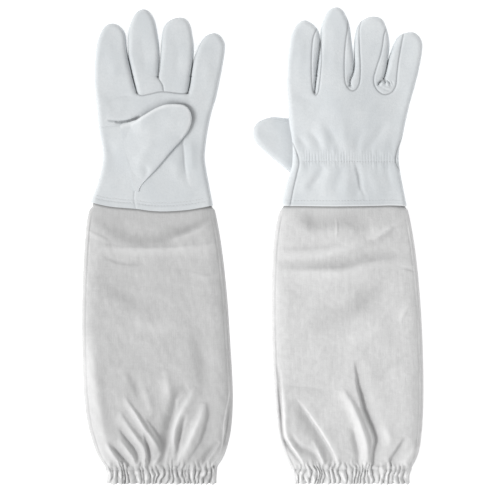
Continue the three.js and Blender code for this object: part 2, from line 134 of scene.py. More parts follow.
# The fingers' outlines follow on from each other, from the hem up the index finger's side to the hem below
# the little finger. gunn is the seam across the palm under the middle and ring fingers, and between is the
# one that parts them. root is where the thumb meets the hand, with the heel's seams above and below it.
# A sleeve's rows are y and its left and right edges.
GLOVES = {
    "left": {
        "palm_up": True,
        # where the upper leather has creases: x and y, from and to
        "fine": [(-54, -16, 82, 98), (-16, 20, 88, 113), (20, 46, 76, 113), (20, 40, 20, 76)],
        "reach": 68.0,  # from the glove's own origin to the left end of the CAD's back panel
        "hem_rows": (6.0, 9.2),  # how far the two rows of stitches are above the leather's hem
        "index": [
            (-67.8, 4), (-65.8, 10), (-61.7, 21), (-57.4, 36), (-54.9, 52), (-56.4, 65.5), (-59.5, 82),
            (-61.4, 101), (-63.4, 118), (-64, 138), (-63.1, 156), (-61.9, 168.6), (-58.9, 179),
            (-54.1, 188.1), (-47.3, 192.4), (-38.9, 191), (-32.6, 184.8), (-30.3, 177), (-29.7, 168),
            (-28.3, 158.5), (-25.2, 144.4), (-22, 130.7), (-18.7, 119),
        ],
        "middle": [
            (-18.7, 119), (-22, 130.7), (-25.2, 144.4), (-28.2, 158.5), (-28.6, 173.9), (-27.3, 187),
            (-24.1, 197.6), (-18.9, 204.9), (-11.5, 207.6), (-4.9, 204), (0.1, 195.2), (2.9, 181.2),
            (4.5, 168.6), (5, 156), (4.4, 145), (3.4, 135.5),
        ],
        "ring": [
            (3.4, 135.5), (4.6, 145), (5.6, 158), (6.9, 173.9), (8.6, 186), (12.6, 193.6), (19, 197.5),
            (26.4, 198.8), (33, 196.9), (37.6, 190.2), (39.6, 180), (41, 168.6), (40.4, 154), (38.3, 140),
            (36.9, 128.6), (34.8, 118.5),
        ],
        "little": [
            (34.8, 118.5), (36.9, 128.6), (38.3, 140), (40.4, 153), (43.4, 162), (47.6, 172),
            (53.4, 179.4), (61.6, 182.4), (68.3, 180.2), (72.7, 174), (74.1, 167.6), (72.3, 153),
            (68.7, 134), (64.4, 114), (59.6, 98), (55.6, 79), (52.8, 58), (52.9, 46), (56.5, 25.5),
            (59.6, 10), (61.2, 0.6),
        ],
        "hem": [
            (-67.8, 4), (-46.7, -0.6), (-19.6, -3), (-4, -5.1), (12.7, -5.6), (33.8, -4.2), (50, -1.6),
            (61.2, 0.6),
        ],
        "gunn": [
            (-18.7, 119), (-16.6, 116.9), (-12.6, 116), (-4.2, 117.6), (5.3, 119.8), (11.7, 119.8),
            (20.3, 118.8), (28.8, 118), (34.8, 118.5),
        ],
        "between": [(3.4, 135.5), (5.3, 132), (8.4, 127), (9.4, 119.9)],
        "heel_top": [(-59.5, 82), (-52, 83.4), (-44, 84), (-36, 84.3)],
        "root": [(-36, 84.3), (-30, 52), (-21, 15.6)],
        "heel_seam": [(-21, 15.6), (-21.5, 7.7), (-19.6, -3)],
        "thumb": [
            (-36, 84.3), (-32.5, 86.5), (-26.5, 87.4), (-19.9, 90.1), (-9.4, 96.4), (1.7, 102.8),
            (12.4, 106.6), (23.2, 107), (31.7, 105.4), (37, 100), (39, 91.5), (36.7, 81.6), (30.6, 71.8),
            (18, 57.6), (1.7, 38.3), (-12.4, 23.6), (-15.8, 18.4), (-17.2, 15), (-21, 15.6),
        ],
        "back_side_seams": {
            "left": [(-56.4, 65.5), (-52.4, 57), (-49.8, 46), (-52.8, 33), (-58, 14), (-60.2, 2)],
            "right": [(54.3, 70), (50.4, 58), (49.6, 50), (51.8, 42), (54.2, 36.8)],
        },
        "sleeve": [
            (12, -65.5, 58.4), (1, -67.8, 61.8), (-14.5, -71.7, 65.4), (-39.8, -74.2, 69.8),
            (-73.5, -76, 74), (-107, -77, 77), (-141, -77, 79.2), (-174.5, -76, 81.2),
            (-200, -74.7, 82.2), (-225, -71.6, 81.3), (-242, -67.6, 79), (-258.7, -62, 74.6),
            (-267, -57.6, 70.6), (-275.5, -52, 65.4), (-283, -49.6, 64.4), (-292, -50.4, 64),
        ],
    },
    "right": {
        "palm_up": False,
        "fine": [(29, 53, 119, 143), (3, 23, 12, 37)],
        "reach": 70.0,
        "hem_rows": (2.9, 6.0),
        "index": [
            (-69.6, 0), (-68.8, 8), (-65.4, 22), (-60.9, 34), (-58.4, 46), (-58.4, 66), (-61.4, 85),
            (-63.4, 103), (-64.7, 118), (-64.4, 140.5), (-63, 160), (-61, 175), (-58.3, 184),
            (-53.2, 191.8), (-46.2, 196), (-38, 193), (-31.9, 186.8), (-29.4, 180), (-29, 172),
            (-30.2, 161), (-32.1, 145.6), (-33.8, 130.3), (-35, 118.5),
        ],
        "middle": [
            (-35, 118.5), (-33.8, 130.3), (-32.1, 145.6), (-30.1, 161), (-28.7, 174), (-28, 187),
            (-25.4, 197.6), (-20, 206.3), (-11.9, 209.7), (-4.9, 206.3), (-0.2, 197.6), (2.5, 189),
            (4, 176), (5.6, 161), (6.5, 148), (5.3, 139.5), (2.3, 132), (2.1, 125.5),
        ],
        "ring": [
            (2.1, 125.5), (2.35, 132), (5.35, 139.5), (6.6, 149), (6.3, 163), (7.6, 177), (10, 188.5),
            (14.4, 194.9), (20.8, 198.8), (26.5, 199.9), (33.6, 198.7), (38, 195), (41, 188), (43.4, 179),
            (44.2, 168), (42.5, 154), (40.4, 143), (37.8, 133.5),
        ],
        "little": [
            (37.8, 133.5), (40.45, 143), (42.6, 154), (45.7, 163), (48.8, 171.2), (52.7, 178.2),
            (59, 182.2), (68, 183.5), (74.4, 180), (78.3, 173.7), (79, 166), (77.2, 153), (74, 138),
            (69.9, 122.6), (65.5, 107), (61.5, 90), (58.2, 74), (54.8, 61), (54, 49.7), (55.4, 37),
            (58.9, 18.3), (61.6, 5), (62.6, 0),
        ],
        "hem": [(-69.6, 0), (-45, -0.3), (-11.3, -0.6), (25, 0), (45, 0.6), (62.6, 0)],
        "gunn": [
            (-35, 118.5), (-30, 117), (-16, 118), (3, 120), (20, 119), (34, 121), (37.8, 133.5),
        ],
        "between": [(2.1, 125.5), (3, 120)],
        "heel_top": [(-61.4, 85), (-54, 86), (-45.4, 87)],
        "root": [(-45.4, 87), (-33, 50), (-21, 15.6)],
        "heel_seam": [(-21, 15.6), (-21.5, 7.7), (-19.6, -0.5)],
        "thumb": [
            (-45.4, 87), (-50, 91), (-57, 92.4), (-63.4, 92.6), (-71, 93.4), (-79, 93.9), (-87.7, 92),
            (-95.3, 87.8), (-99.2, 81.6), (-99.4, 74.1), (-96.6, 66.5), (-89, 58.6), (-79.4, 50.2),
            (-66, 39.5), (-50, 26), (-36, 17), (-21, 15.6),
        ],
        "back_side_seams": {
            "left": [(-58.4, 66), (-54.6, 58), (-51.3, 46), (-53.4, 34), (-57.6, 16), (-60.6, -0.1)],
            "right": [(58.2, 74), (53.4, 64), (50, 50), (52, 41), (55.4, 37)],
        },
        "back_seams": {
            ("index", "middle"): [
                (-31.9, 186.8), (-35.4, 179.5), (-37, 172), (-38, 160), (-38.3, 145.6), (-37.9, 130),
                (-36.6, 120), (-34, 115.8), (-31.3, 119), (-29.6, 130), (-28.4, 142), (-27.6, 153),
                (-27.9, 166), (-28.7, 174),
            ],
            ("middle", "ring"): [
                (-0.2, 197.6), (-0.3, 186), (-2.4, 171), (-3.6, 156), (-3.8, 140.5), (-3, 129),
                (0.2, 122.8), (5.2, 120.3), (10, 123.6), (12.5, 131.6), (13.2, 146), (12.5, 162),
                (12, 178), (12.2, 187), (14.4, 194.9),
            ],
            ("ring", "little"): [
                (41, 188), (38.2, 180), (36.6, 168.5), (34, 157), (29.8, 144.3), (27, 133), (28.6, 125),
                (33.6, 118.8), (40, 116.8), (46.9, 120), (50.6, 127), (51.5, 135.3), (52.9, 149),
                (55.3, 163.4), (57.2, 174), (59, 182.2),
            ],
        },
        "sleeve": [
            (12, -68.4, 60.2), (0, -69.6, 62.6), (-14.5, -74.6, 66), (-39.8, -78.2, 70.4),
            (-69, -79.8, 74), (-99, -80.5, 76.6), (-128, -80.2, 78.4), (-158, -79.4, 79.5),
            (-187, -78, 80), (-217, -75.4, 79.6), (-242, -72, 77.8), (-258.7, -67.6, 75.2),
            (-268, -63.6, 71.6), (-275.5, -60, 67.6), (-284, -56.6, 64.6), (-292.5, -56.6, 65),
        ],
    },
}

# Creases and swellings: height, width on the left and on the right of the line, and the line itself.
RELIEF = {
    ("left", "up"): [
        (1.6, 7, 3, [(-50, 92), (-38, 91.5), (-26, 91.5), (-14, 97), (2, 106), (20, 112), (34, 111)]),
        (-2.4, 0.9, 1.0, [(-49, 89.7), (-44, 89.4), (-38, 89)]),
        (-5.0, 1.4, 2.2, [(-42, 88.6), (-36, 88.4), (-29, 88.8), (-21, 91.4), (-14, 95)]),
        (-1.5, 6, 2.5, [(-24, 92.5), (-12, 98), (0, 105), (12, 109.4), (26, 109.4), (37, 104)]),
        (-1.1, 3, 2, [(-50, 108), (-40, 113), (-30, 114.6), (-16, 114)]),
        (-1.2, 2.2, 3.6, [(26.5, 76), (29.2, 66), (30.6, 54), (31.4, 42), (33.2, 31), (36, 20)]),
        (-0.5, 0.8, 0.8, [(28.6, 70), (29.6, 64), (30.6, 54), (31.4, 42), (33.2, 31)]),
        (0.6, 5, 5, [(18, 50), (22, 40), (23, 26)]),
        (0.9, 4, 4, [(38, 72), (39, 52), (41, 34)]),
        (-0.7, 5, 5, [(-52, 72), (-44, 54), (-47, 34)]),
        (0.6, 6, 6, [(-46, 170), (-44, 150), (-45, 128)]),
        (-0.5, 5, 5, [(-14, 190), (-12, 165), (-9, 138)]),
        (-0.5, 4, 4, [(22, 180), (24, 158), (22, 136)]),
        (0.5, 5, 5, [(60, 165), (56, 142), (52, 122)]),
    ],
    ("right", "up"): [
        (-1.4, 3.4, 1.3, [(7.4, 46), (9.2, 37), (10.8, 30), (12, 22), (13, 15)]),
        (-0.5, 2.2, 1.3, [(12.4, 21), (15, 15), (17.2, 10), (18.6, 3)]),
        (-0.9, 4, 4, [(10.4, 27), (9.4, 17), (7, 5)]),
        (0.9, 4, 4, [(2, 42), (0, 28), (-3, 8)]),
        (-1.2, 4, 3, [(-24, 40), (-33, 29), (-41, 17)]),
        (1, 5, 5, [(-31, 42), (-44, 24), (-48, 12)]),
        (1, 5, 5, [(-16, 41), (-22, 25), (-26, 10)]),
        (-0.8, 4, 4, [(-6, 40), (-11, 26), (-13, 10)]),
        (0.8, 5, 5, [(24, 41), (28, 26), (33, 10)]),
        (-0.7, 3, 3, [(40, 42), (43, 30), (46, 18)]),
        (-1.1, 4, 4, [(-42, 58), (-50, 68), (-57, 76)]),
        (-1.1, 4, 3, [(-27, 57), (-34, 70), (-42, 80)]),
        (-1, 4, 4, [(-11, 57), (-15, 70), (-22, 84)]),
        (0.8, 5, 5, [(-19, 58), (-26, 74), (-34, 92)]),
        (0.9, 5, 5, [(-3, 57), (-4, 72), (-6, 92)]),
        (-0.9, 4, 4, [(20, 57), (28, 70), (40, 88)]),
        (0.8, 5, 5, [(30, 57), (38, 68), (48, 80)]),
        (-0.8, 4, 4, [(8, 57), (11, 70), (16, 84)]),
        (-0.6, 4, 4, [(-58, 112), (-44, 112), (-30, 106)]),
        (0.7, 8, 8, [(-30, 98), (0, 100), (34, 104)]),
        (0.5, 5, 5, [(-49, 176), (-50, 150), (-50, 126)]),
        (0.5, 5, 5, [(-15, 190), (-15, 165), (-14, 138)]),
        (-4.4, 1.0, 1.0, [(38.6, 134.6), (36.8, 132.2), (34.8, 131), (32.8, 129), (31, 126)]),
        (-3.4, 0.8, 0.9, [(37.4, 134), (38.8, 131.8), (39.2, 129.8), (38.8, 127.6)]),
        (-1.6, 0.8, 0.8, [(38.6, 133), (42, 131), (44, 128.6), (44.8, 125)]),
        (1.3, 1.9, 1.9, [(34.6, 125.6), (36.2, 128.8), (38, 130.6)]),
        (1.1, 1.3, 1.3, [(40.2, 131.6), (41.4, 128.4), (42.4, 125.4)]),
        (-0.9, 0.8, 0.8, [(45.8, 131.6), (46.8, 129), (46.6, 126.4)]),
        (-0.7, 0.8, 0.8, [(37.6, 122.4), (41.4, 121.6), (45, 120.4)]),
        (0.6, 1.1, 1.1, [(36.6, 124.6), (41, 123.8), (45.6, 122.6)]),
    ],
    ("left", "thumb"): [
        (-1.2, 4, 3, [(-12, 20), (-8, 32), (-10, 44)]),
        (0.8, 5, 5, [(-20, 30), (-14, 50), (-2, 68)]),
    ],
    ("right", "thumb"): [
        (-0.6, 4, 4, [(-94, 78), (-82, 76), (-70, 74)]),
    ],
    ("left", "canvas"): [
        (-1.6, 8, 6, [(-74, -4), (-52, -18), (-30, -33), (0, -36), (22, -29), (48, -20), (68, -10)]),
        (1.6, 2.4, 8, [(-64, -42), (-30, -45), (10, -45), (40, -43), (78, -40)]),
        (-0.9, 2.4, 1.6, [(-55, -53), (-38, -59), (-22, -61), (-10, -60)]),
        (1.3, 1.4, 4, [(16, -36), (30, -31), (44, -26), (62, -16)]),
        (-1.1, 5, 1.2, [(20, -30), (42, -22), (60, -12)]),
        (0.8, 1.2, 4, [(-76, -24), (-62, -30), (-46, -38)]),
        (-0.7, 6, 6, [(-40, -6), (-36, -18), (-26, -30)]),
        (-0.9, 10, 10, [(-68, -70), (-30, -94), (14, -118)]),
        (0.8, 7, 7, [(-20, -120), (10, -128), (36, -118)]),
        (0.7, 1.4, 4, [(36, -70), (56, -74), (74, -70)]),
        (1.1, 0.9, 0.9, [
            (80, -172), (79.2, -196), (76.5, -212), (74, -226), (72.6, -242), (70.6, -256), (65, -272),
        ]),
        (-0.8, 1.2, 1.2, [(82, -190), (79.5, -210), (77, -226), (75.4, -242), (73, -256)]),
        (-1.9, 9, 8, [(40, -128), (48, -150), (52, -176), (54, -200)]),
        (1.6, 5, 6, [(10, -172), (14, -188), (17, -206), (14, -220)]),
        (-1.5, 5, 5, [(-26, -172), (-20, -186), (-14, -202)]),
        (1.0, 4, 4, [(-12, -190), (-6, -206), (-2, -220)]),
        (-4.0, 1.5, 7, [
            (36, -191), (27, -197), (22.3, -203), (21, -212), (18.4, -222), (15.1, -233), (13.5, -243.5),
            (11.8, -255), (9.8, -267), (7.8, -274),
        ]),
        (3.0, 6, 3.2, [
            (44, -190), (35, -205), (27.5, -218), (22.8, -230), (20.5, -243), (22, -255), (20, -269),
        ]),
        (-3.0, 1.5, 4, [(33, -218), (29, -233), (26.5, -245), (25, -257), (22.5, -270)]),
        (3.0, 5, 4, [(51.3, -206), (50, -218), (42.5, -234), (36, -249), (30.5, -260), (23, -270)]),
        (-2.2, 11, 2.4, [(56, -204), (56.5, -222), (50, -246), (40, -262), (33, -273)]),
        (2.4, 1.8, 4, [(-32, -200), (-19, -218.5), (-10, -233), (-0.7, -246), (6, -258), (7.5, -262)]),
        (2.0, 2.4, 2.4, [(7.5, -258), (3, -266), (-3, -274)]),
        (-2.0, 8, 2, [(-8, -222), (2, -236), (8, -247), (10.5, -258)]),
        (-2.6, 3.4, 1.4, [(-10, -238), (-8.4, -251), (-5.6, -263), (-5, -274)]),
        (2.2, 2.2, 5, [(-38, -215), (-28, -230), (-18, -243.5), (-10.5, -255), (-10, -267), (-13, -280)]),
        (-2.4, 4, 1.6, [(-37, -233), (-28, -246), (-20, -257), (-16, -270)]),
        (2.0, 2, 4, [(-38, -243), (-28, -256), (-21.6, -266), (-21.6, -279)]),
        (-2.2, 3.6, 1.5, [(-46, -251), (-36, -262), (-28, -270), (-24, -277)]),
        (1.6, 2, 3, [(-51, -248), (-41.5, -262), (-34.5, -274)]),
        (2.2, 7, 9, [(-68, -130), (-65, -168), (-60, -204), (-55, -230), (-50, -254), (-42, -276)]),
        (-2.8, 1.6, 5, [(68, -247), (57, -261), (47, -275)]),
        (2.0, 4, 3, [(76, -250), (66, -268), (51, -278)]),
    ],
    ("right", "canvas"): [
        (-1.6, 9, 7, [(-56, -10), (-28, -17), (4, -16), (26, -26)]),
        (-1.1, 2.6, 4, [(-72, -45), (-50, -44), (-20, -42), (4, -36)]),
        (1.5, 7, 4, [(-74, -52), (-40, -52), (-8, -47), (22, -36), (48, -24)]),
        (-1.0, 2.6, 4, [(16, -34), (28, -37), (40, -31), (52, -24)]),
        (1.3, 4, 2.4, [(26, -35), (38, -27), (50, -19), (64, -11)]),
        (-1.2, 6, 6, [(-44, -4), (-40, -16), (-30, -28)]),
        (0.7, 1.0, 1.0, [(-13, -10), (-11.8, -22), (-12.2, -32)]),
        (0.8, 1.2, 1.6, [(50, -66), (62, -62), (76, -63)]),
        (-0.7, 1.0, 1.2, [(54, -64), (64, -66.5), (76, -70)]),
        (0.7, 1.6, 4, [(70, -100), (62, -108), (54, -122)]),
        (-1.2, 12, 11, [(44, -80), (10, -106), (-38, -130)]),
        (0.8, 6, 6, [(46, -120), (24, -134), (0, -140)]),
        (-0.8, 4, 7, [(72, -160), (48, -168), (34, -182)]),
        (-1.6, 7, 3, [(-74, -63), (-36, -63), (-4, -62), (20, -56.5), (44, -53), (68, -53)]),
        (1.4, 3, 8, [(-70, -70), (-36, -69.5), (0, -68), (24, -62.5), (50, -58.5)]),
        (-0.5, 8, 8, [(14, -80), (16, -96), (12, -112)]),
        (-1.0, 1.6, 5, [(-68, -188), (-44, -190), (-12.6, -194)]),
        (-4.4, 8, 1.5, [
            (8, -162), (10, -178), (11, -188), (14.3, -200), (17, -212), (21.6, -224), (26.8, -236),
            (29.5, -246), (27.5, -257), (25.5, -270), (24, -280),
        ]),
        (3.4, 3, 6, [
            (-8, -190), (2, -204), (8.4, -217), (13.7, -230), (19, -246), (20.3, -262), (20.3, -279),
        ]),
        (-2.4, 1.8, 4, [(5, -230), (9.7, -249), (12.2, -262), (9.7, -276)]),
        (-3.4, 1.4, 8, [
            (-55, -202), (-45.5, -214.5), (-37.6, -226.4), (-29.7, -238), (-21.8, -251), (-15.3, -263),
            (-12, -278),
        ]),
        (2.6, 7, 2, [(-47, -207), (-36, -224), (-28, -236), (-20, -249), (-13.5, -261), (-9.5, -276)]),
        (-3.4, 1.4, 2.6, [
            (-74, -166), (-71.2, -182), (-71, -201), (-70, -221), (-68, -242), (-62.6, -251.4),
            (-53.4, -263), (-44, -276),
        ]),
        (2.2, 4, 1.6, [
            (-68, -186), (-66.4, -214), (-65.3, -238), (-58.7, -251), (-49.5, -264.5), (-39, -280),
        ]),
        (-2.4, 2, 5, [(-60, -238), (-51, -251), (-39, -256.6), (-31, -264.5), (-24.5, -279)]),
        (2.0, 3, 2.4, [(-36, -245), (-31, -256), (-27, -267), (-20.5, -281)]),
        (-2.4, 5, 2, [(62, -242), (50.5, -259), (42, -272)]),
        (1.8, 6, 6, [(34, -228), (42, -240), (44, -252)]),
        (2.0, 4, 4, [(73, -250), (66, -262), (56, -274)]),
        (-1.6, 1.4, 2.4, [(29, -272), (36, -272.5), (43, -271)]),
    ],
}


# ---- curves --------------------------------------------------------------------------------------

def smooth(t):
    t = np.clip(t, 0, 1)
    return t * t * (3 - 2 * t)


def dome(t):
    """A quarter circle: 0 at an edge, 1 from t = 1 on."""
    return np.sqrt(1 - (1 - np.clip(t, 0, 1)) ** 2)


def pillow(t):
    """Like dome, but flatter across the middle and steeper at the edge."""
    return np.sqrt(1 - (1 - np.clip(t, 0, 1)) ** 3)


def falloff(gap, width, power=2):
    """1 where the gap is 0, and soon 0 beyond that width."""
    return np.exp(-((np.abs(gap) / width) ** power))


def level_row(x, y):
    """Points at each x, all at the same y."""
    return np.column_stack([x, np.full(len(x), y)])


def curve(points, step=STEP):
    """A smooth line through the points, cut into steps of about that length."""
    p = np.array(points, float)
    padded = np.vstack([2 * p[0] - p[1], p, 2 * p[-1] - p[-2]])
    out = []
    for a, b, c, d in zip(padded, padded[1:], padded[2:], padded[3:]):
        count = max(1, round(float(np.linalg.norm(c - b)) / step))
        t = np.arange(count)[:, None] / count
        square, cube = 2 * a - 5 * b + 4 * c - d, 3 * b - a - 3 * c + d
        out.append(b + 0.5 * ((c - a) * t + square * t**2 + cube * t**3))
    return np.vstack(out + [p[-1:]])


def nearest(line, xy):
    """For each point: its distance to the line, how far along that is (0 to 1), and its side (1 is left)."""
    a, b = line[:-1], line[1:]
    run = b - a
    length = np.linalg.norm(run, axis=1)
    start = np.concatenate([[0], np.cumsum(length)])
    gap, along, side = (np.empty(len(xy)) for _ in range(3))
    for first in range(0, len(xy), 2000):
        rows = slice(first, first + 2000)
        offset = xy[rows, None] - a
        t = np.clip((offset * run).sum(2) / length**2, 0, 1)
        away = np.linalg.norm(offset - t[..., None] * run, axis=2)
        best = away.argmin(1)
        pick = (np.arange(len(best)), best)
        gap[rows] = away[pick]
        along[rows] = (start[best] + t[pick] * length[best]) / start[-1]
        side[rows] = np.sign(run[best, 0] * offset[pick][:, 1] - run[best, 1] * offset[pick][:, 0])
    return gap, along, side


def inside(loop, xy):
    """Which points are inside a closed outline."""
    a, b = loop, np.roll(loop, -1, axis=0)
    result = np.zeros(len(xy), bool)
    for first in range(0, len(xy), 4000):
        x, y = xy[first:first + 4000].T[..., None]
        crosses = (a[:, 1] > y) != (b[:, 1] > y)
        rise = np.where(b[:, 1] == a[:, 1], 1, b[:, 1] - a[:, 1])
        edge = a[:, 0] + (y - a[:, 1]) / rise * (b[:, 0] - a[:, 0])
        result[first:first + 4000] = (crosses & (x < edge)).sum(1) % 2
    return result


def with_level(line, level):
    """The same line with a point wherever it crosses y = level."""
    out = [line[0]]
    for a, b in zip(line, line[1:]):
        if (a[1] - level) * (b[1] - level) < 0:
            out.append(a + (b - a) * (level - a[1]) / (b[1] - a[1]))
            out[-1][1] = level
        out.append(b)
    return np.array(out)


def shrink(line, amount, fade=8.0):
    """The line moved to its right, less and less towards its ends."""
    run = np.gradient(line, axis=0)
    normal = np.column_stack([run[:, 1], -run[:, 0]]) / np.linalg.norm(run, axis=1)[:, None]
    far = np.concatenate([[0], np.cumsum(np.linalg.norm(np.diff(line, axis=0), axis=1))])
    share = np.clip(np.minimum(far, far[-1] - far) / fade, 0, 1)
    return line + normal * (amount * share)[:, None]


def waves(xy, length, seed, stretch=(1, 1)):
    """A smooth random field of about that wavelength, with values from -1 to 1."""
    rng = np.random.default_rng(seed)
    angle = rng.uniform(0, 2 * math.pi, 18)
    pace = 2 * math.pi / (length * rng.uniform(0.7, 1.5, 18))
    phase = rng.uniform(0, 2 * math.pi, 18)
    x, y = xy[:, 0] / stretch[0], xy[:, 1] / stretch[1]
    field = np.sin(np.outer(x, np.cos(angle) * pace) + np.outer(y, np.sin(angle) * pace) + phase)
    return np.tanh(field.sum(1) / 3.4)


def relief(xy, strokes):
    """The height of all the creases and swellings together. Each one tapers out at its ends."""
    reach = 26
    height = np.zeros(len(xy))
    for rise, left, right, points in strokes:
        line = curve(points, 4)
        (x_low, y_low), (x_high, y_high) = line.min(0) - reach, line.max(0) + reach
        near = inside(np.array([(x_low, y_low), (x_high, y_low), (x_high, y_high), (x_low, y_high)]), xy)
        gap, along, side = nearest(line, xy[near])
        taper = np.sin(math.pi * along) ** 0.7
        height[near] += rise * taper * falloff(gap, np.where(side > 0, left, right))
    return height


# ---- one glove's surfaces ------------------------------------------------------------------------

class Glove:
    """The outlines of one glove as fine lines, and the heights of its upper and lower surfaces."""

    def __init__(self, side):
        shape = GLOVES[side]
        self.side = side
        self.palm_up = shape["palm_up"]
        self.shape = shape
        self.hem_rows = shape["hem_rows"]
        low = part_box(f"{side}_back_panel")[0]
        self.origin = np.array([low.x * 1000 + shape["reach"], low.y * 1000, 0])
        self.fingers = {name: with_level(shrink(curve(shape[name]), SLIT), KNUCKLE) for name in FINGERS}
        self.hem, self.gunn, self.between, self.thumb, self.root, self.heel_top, self.heel_seam = (
            curve(shape[name])
            for name in ("hem", "gunn", "between", "thumb", "root", "heel_top", "heel_seam")
        )
        rows = np.array(shape["sleeve"])[1:]
        left, right = curve(rows[:, [1, 0]], 4), curve(rows[:, [2, 0]], 4)
        outline = [left[::-1], *self.fingers.values(), right]
        self.outline = np.vstack([part[1:] if k else part for k, part in enumerate(outline)])
        run = (self.root[-1] - self.root[0]) / np.linalg.norm(self.root[-1] - self.root[0])
        self.thumbward = np.array([-run[1], run[0]]) * (1 if self.palm_up else -1)
        self.side_seams = {k: curve(points) for k, points in shape["back_side_seams"].items()}
        self.back_seams = self._back_seams()
        self._snap()
        palm = [self.gunn, self.between, self.heel_top, self.heel_seam]
        back = [*self.back_seams.values(), *self.side_seams.values()]
        self.seams = {"up": palm if self.palm_up else back, "low": back if self.palm_up else palm}

    def _snap(self):
        """Puts the ends of each seam exactly on a point of the line that it meets."""
        index, little = self.fingers["index"], self.fingers["little"]
        ends = [
            (self.heel_top, 0, index), (self.between, -1, self.gunn), (self.heel_seam, -1, self.hem),
            (self.side_seams["left"], 0, index), (self.side_seams["left"], -1, self.hem),
            (self.side_seams["right"], 0, little), (self.side_seams["right"], -1, little),
        ]
        for line, end, other in ends:
            line[end] = other[np.linalg.norm(other - line[end], axis=1).argmin()]
        for name, line in self.side_seams.items():
            clear = inside(self.outline, line) & (self.outline_gap(line) > 0.5)
            clear[[0, -1]] = True
            self.side_seams[name] = line[clear]

    def _back_seams(self):
        """The U-shaped seams round the fourchettes, on the back of the hand."""
        given = self.shape.get("back_seams")
        seams = {}
        for one, other in zip(FINGERS, FINGERS[1:]):
            a, b = self.fingers[one], self.fingers[other]
            line = curve(given[one, other]) if given else self._seam_round(a, b)
            start = int(np.linalg.norm(a - line[0], axis=1).argmin())
            end = int(np.linalg.norm(b - line[-1], axis=1).argmin())
            line[0], line[-1] = a[start], b[end]
            seams[one, other] = with_level(line, KNUCKLE)
        return seams

    def _seam_round(self, a, b):
        """A fourchette seam that stays up to 7 mm inside the two facing sides of a pair of fingers."""
        crotch = a[-1]
        down = a[np.argmax(a[:, 1]):]
        up = b[:np.argmax(b[:, 1]) + 1]
        reach = min(down[0, 1], up[-1, 1]) - crotch[1]
        heights = crotch[1] + np.array([0.86, 0.66, 0.45, 0.24, 0.06]) * reach
        inset = np.array([0.0, 6.0, 7.0, 6.5, 4.5])
        left = np.interp(heights, down[::-1, 1], down[::-1, 0]) - inset
        right = np.interp(heights, up[:, 1], up[:, 0]) + inset
        return curve([*zip(left, heights), (crotch[0], crotch[1] - 3.5), *zip(right[::-1], heights[::-1])])

    def lift(self, xy):
        """How far the thumb under the right hand lifts it."""
        if self.palm_up:
            return np.zeros(len(xy))
        x, y = xy.T
        (right, across), (top, above), (bottom, below) = LIFT_FADE.values()
        lift = ROOT_LIFT * smooth((right - x) / across)
        return lift * smooth((top - y) / above) * smooth((y - bottom) / below)

    def outline_gap(self, xy):
        return nearest(self.outline, xy)[0]

    def grooves(self, xy, face):
        """How deep that face's seams pull the leather in, and how near each point is to one (0 to 1)."""
        depth, width = GROOVE
        near = np.zeros(len(xy))
        for line in self.seams[face]:
            share = FLAT_SEAM if line is self.heel_top or line is self.heel_seam else 1
            near = np.maximum(near, share * falloff(nearest(line, xy)[0], width))
        return depth * near, near

    def seam_z(self, xy):
        """Height of the silhouette, where the upper and the lower leather meet."""
        rise, reach = WEB
        crotches = np.array([self.fingers[name][-1] for name in FINGERS[:3]])
        away = np.linalg.norm(xy[:, None] - crotches, axis=2).min(1)
        return SEAM_Z + rise * falloff(away, reach)

    def painted_light(self, xy, face):
        """Painted shade above 0, in seams, creases, where fingers touch and by the thumb; painted highlight
        below 0 at the hem.
        """
        def shade(kind, gap):
            most, reach = SHADES[kind]
            return most * falloff(gap, reach)

        x, y = xy.T
        second_finger = np.sort([nearest(line, xy)[0] for line in self.fingers.values()], axis=0)[1]
        # painted shade along the seams and where two fingers touch, and a painted highlight along the hem's
        # edge
        near = self.grooves(xy, face)[1] + shade("hem", self.above_hem(xy)) + shade("fingers", second_finger)
        if face == "low":
            return near
        if self.palm_up:
            # painted shadow on the palm above and beside the folded thumb
            gap = nearest(self.thumb, xy)[0]
            near = np.maximum(near, smooth((y - 86) / 8) * shade("thumb", gap))
            near = near + smooth((y - 50) / 40) * smooth((x + 36) / 24) * shade("by thumb", gap)
        # painted shade down in the creases
        return near + np.clip(-relief(xy, RELIEF[self.side, "up"]) / 2.4, 0, 1)

    def upper(self, xy, grooved=True):
        gap = self.outline_gap(xy)
        free = smooth(gap / 5)
        seam_z = self.seam_z(xy)
        height = (HAND_TOP - seam_z) * pillow(gap / HAND_ROLL)
        soft = 0.34 * waves(xy, 38, 3) + 0.07 * waves(xy, 13, 4)
        height = height + free * (relief(xy, RELIEF[self.side, "up"]) + soft - self.hem_relief(xy))
        if not self.palm_up:
            height = height + free * self.shirring(xy)
        if grooved:
            height = height - smooth(gap / 2) * self.grooves(xy, "up")[0]
        return seam_z + height + self.lift(xy)

    def above_hem(self, xy):
        return xy[:, 1] - np.interp(xy[:, 0], self.hem[:, 0], self.hem[:, 1])

    def hem_relief(self, xy):
        """Hollows along the hem's two rows of stitches, and below 0 on the thicker edge beyond them."""
        above = self.above_hem(xy)
        depth, width = HEM_GROOVE
        rows = sum(falloff(above - row, width) for row in self.hem_rows)
        pucker = 1 + 0.4 * np.sin(2 * math.pi * xy[:, 0] / STITCHES["hem"][0])
        return depth * rows * pucker - HEM_EDGE * (1 - smooth((above - self.hem_rows[0] + 1.4) / 1.2))

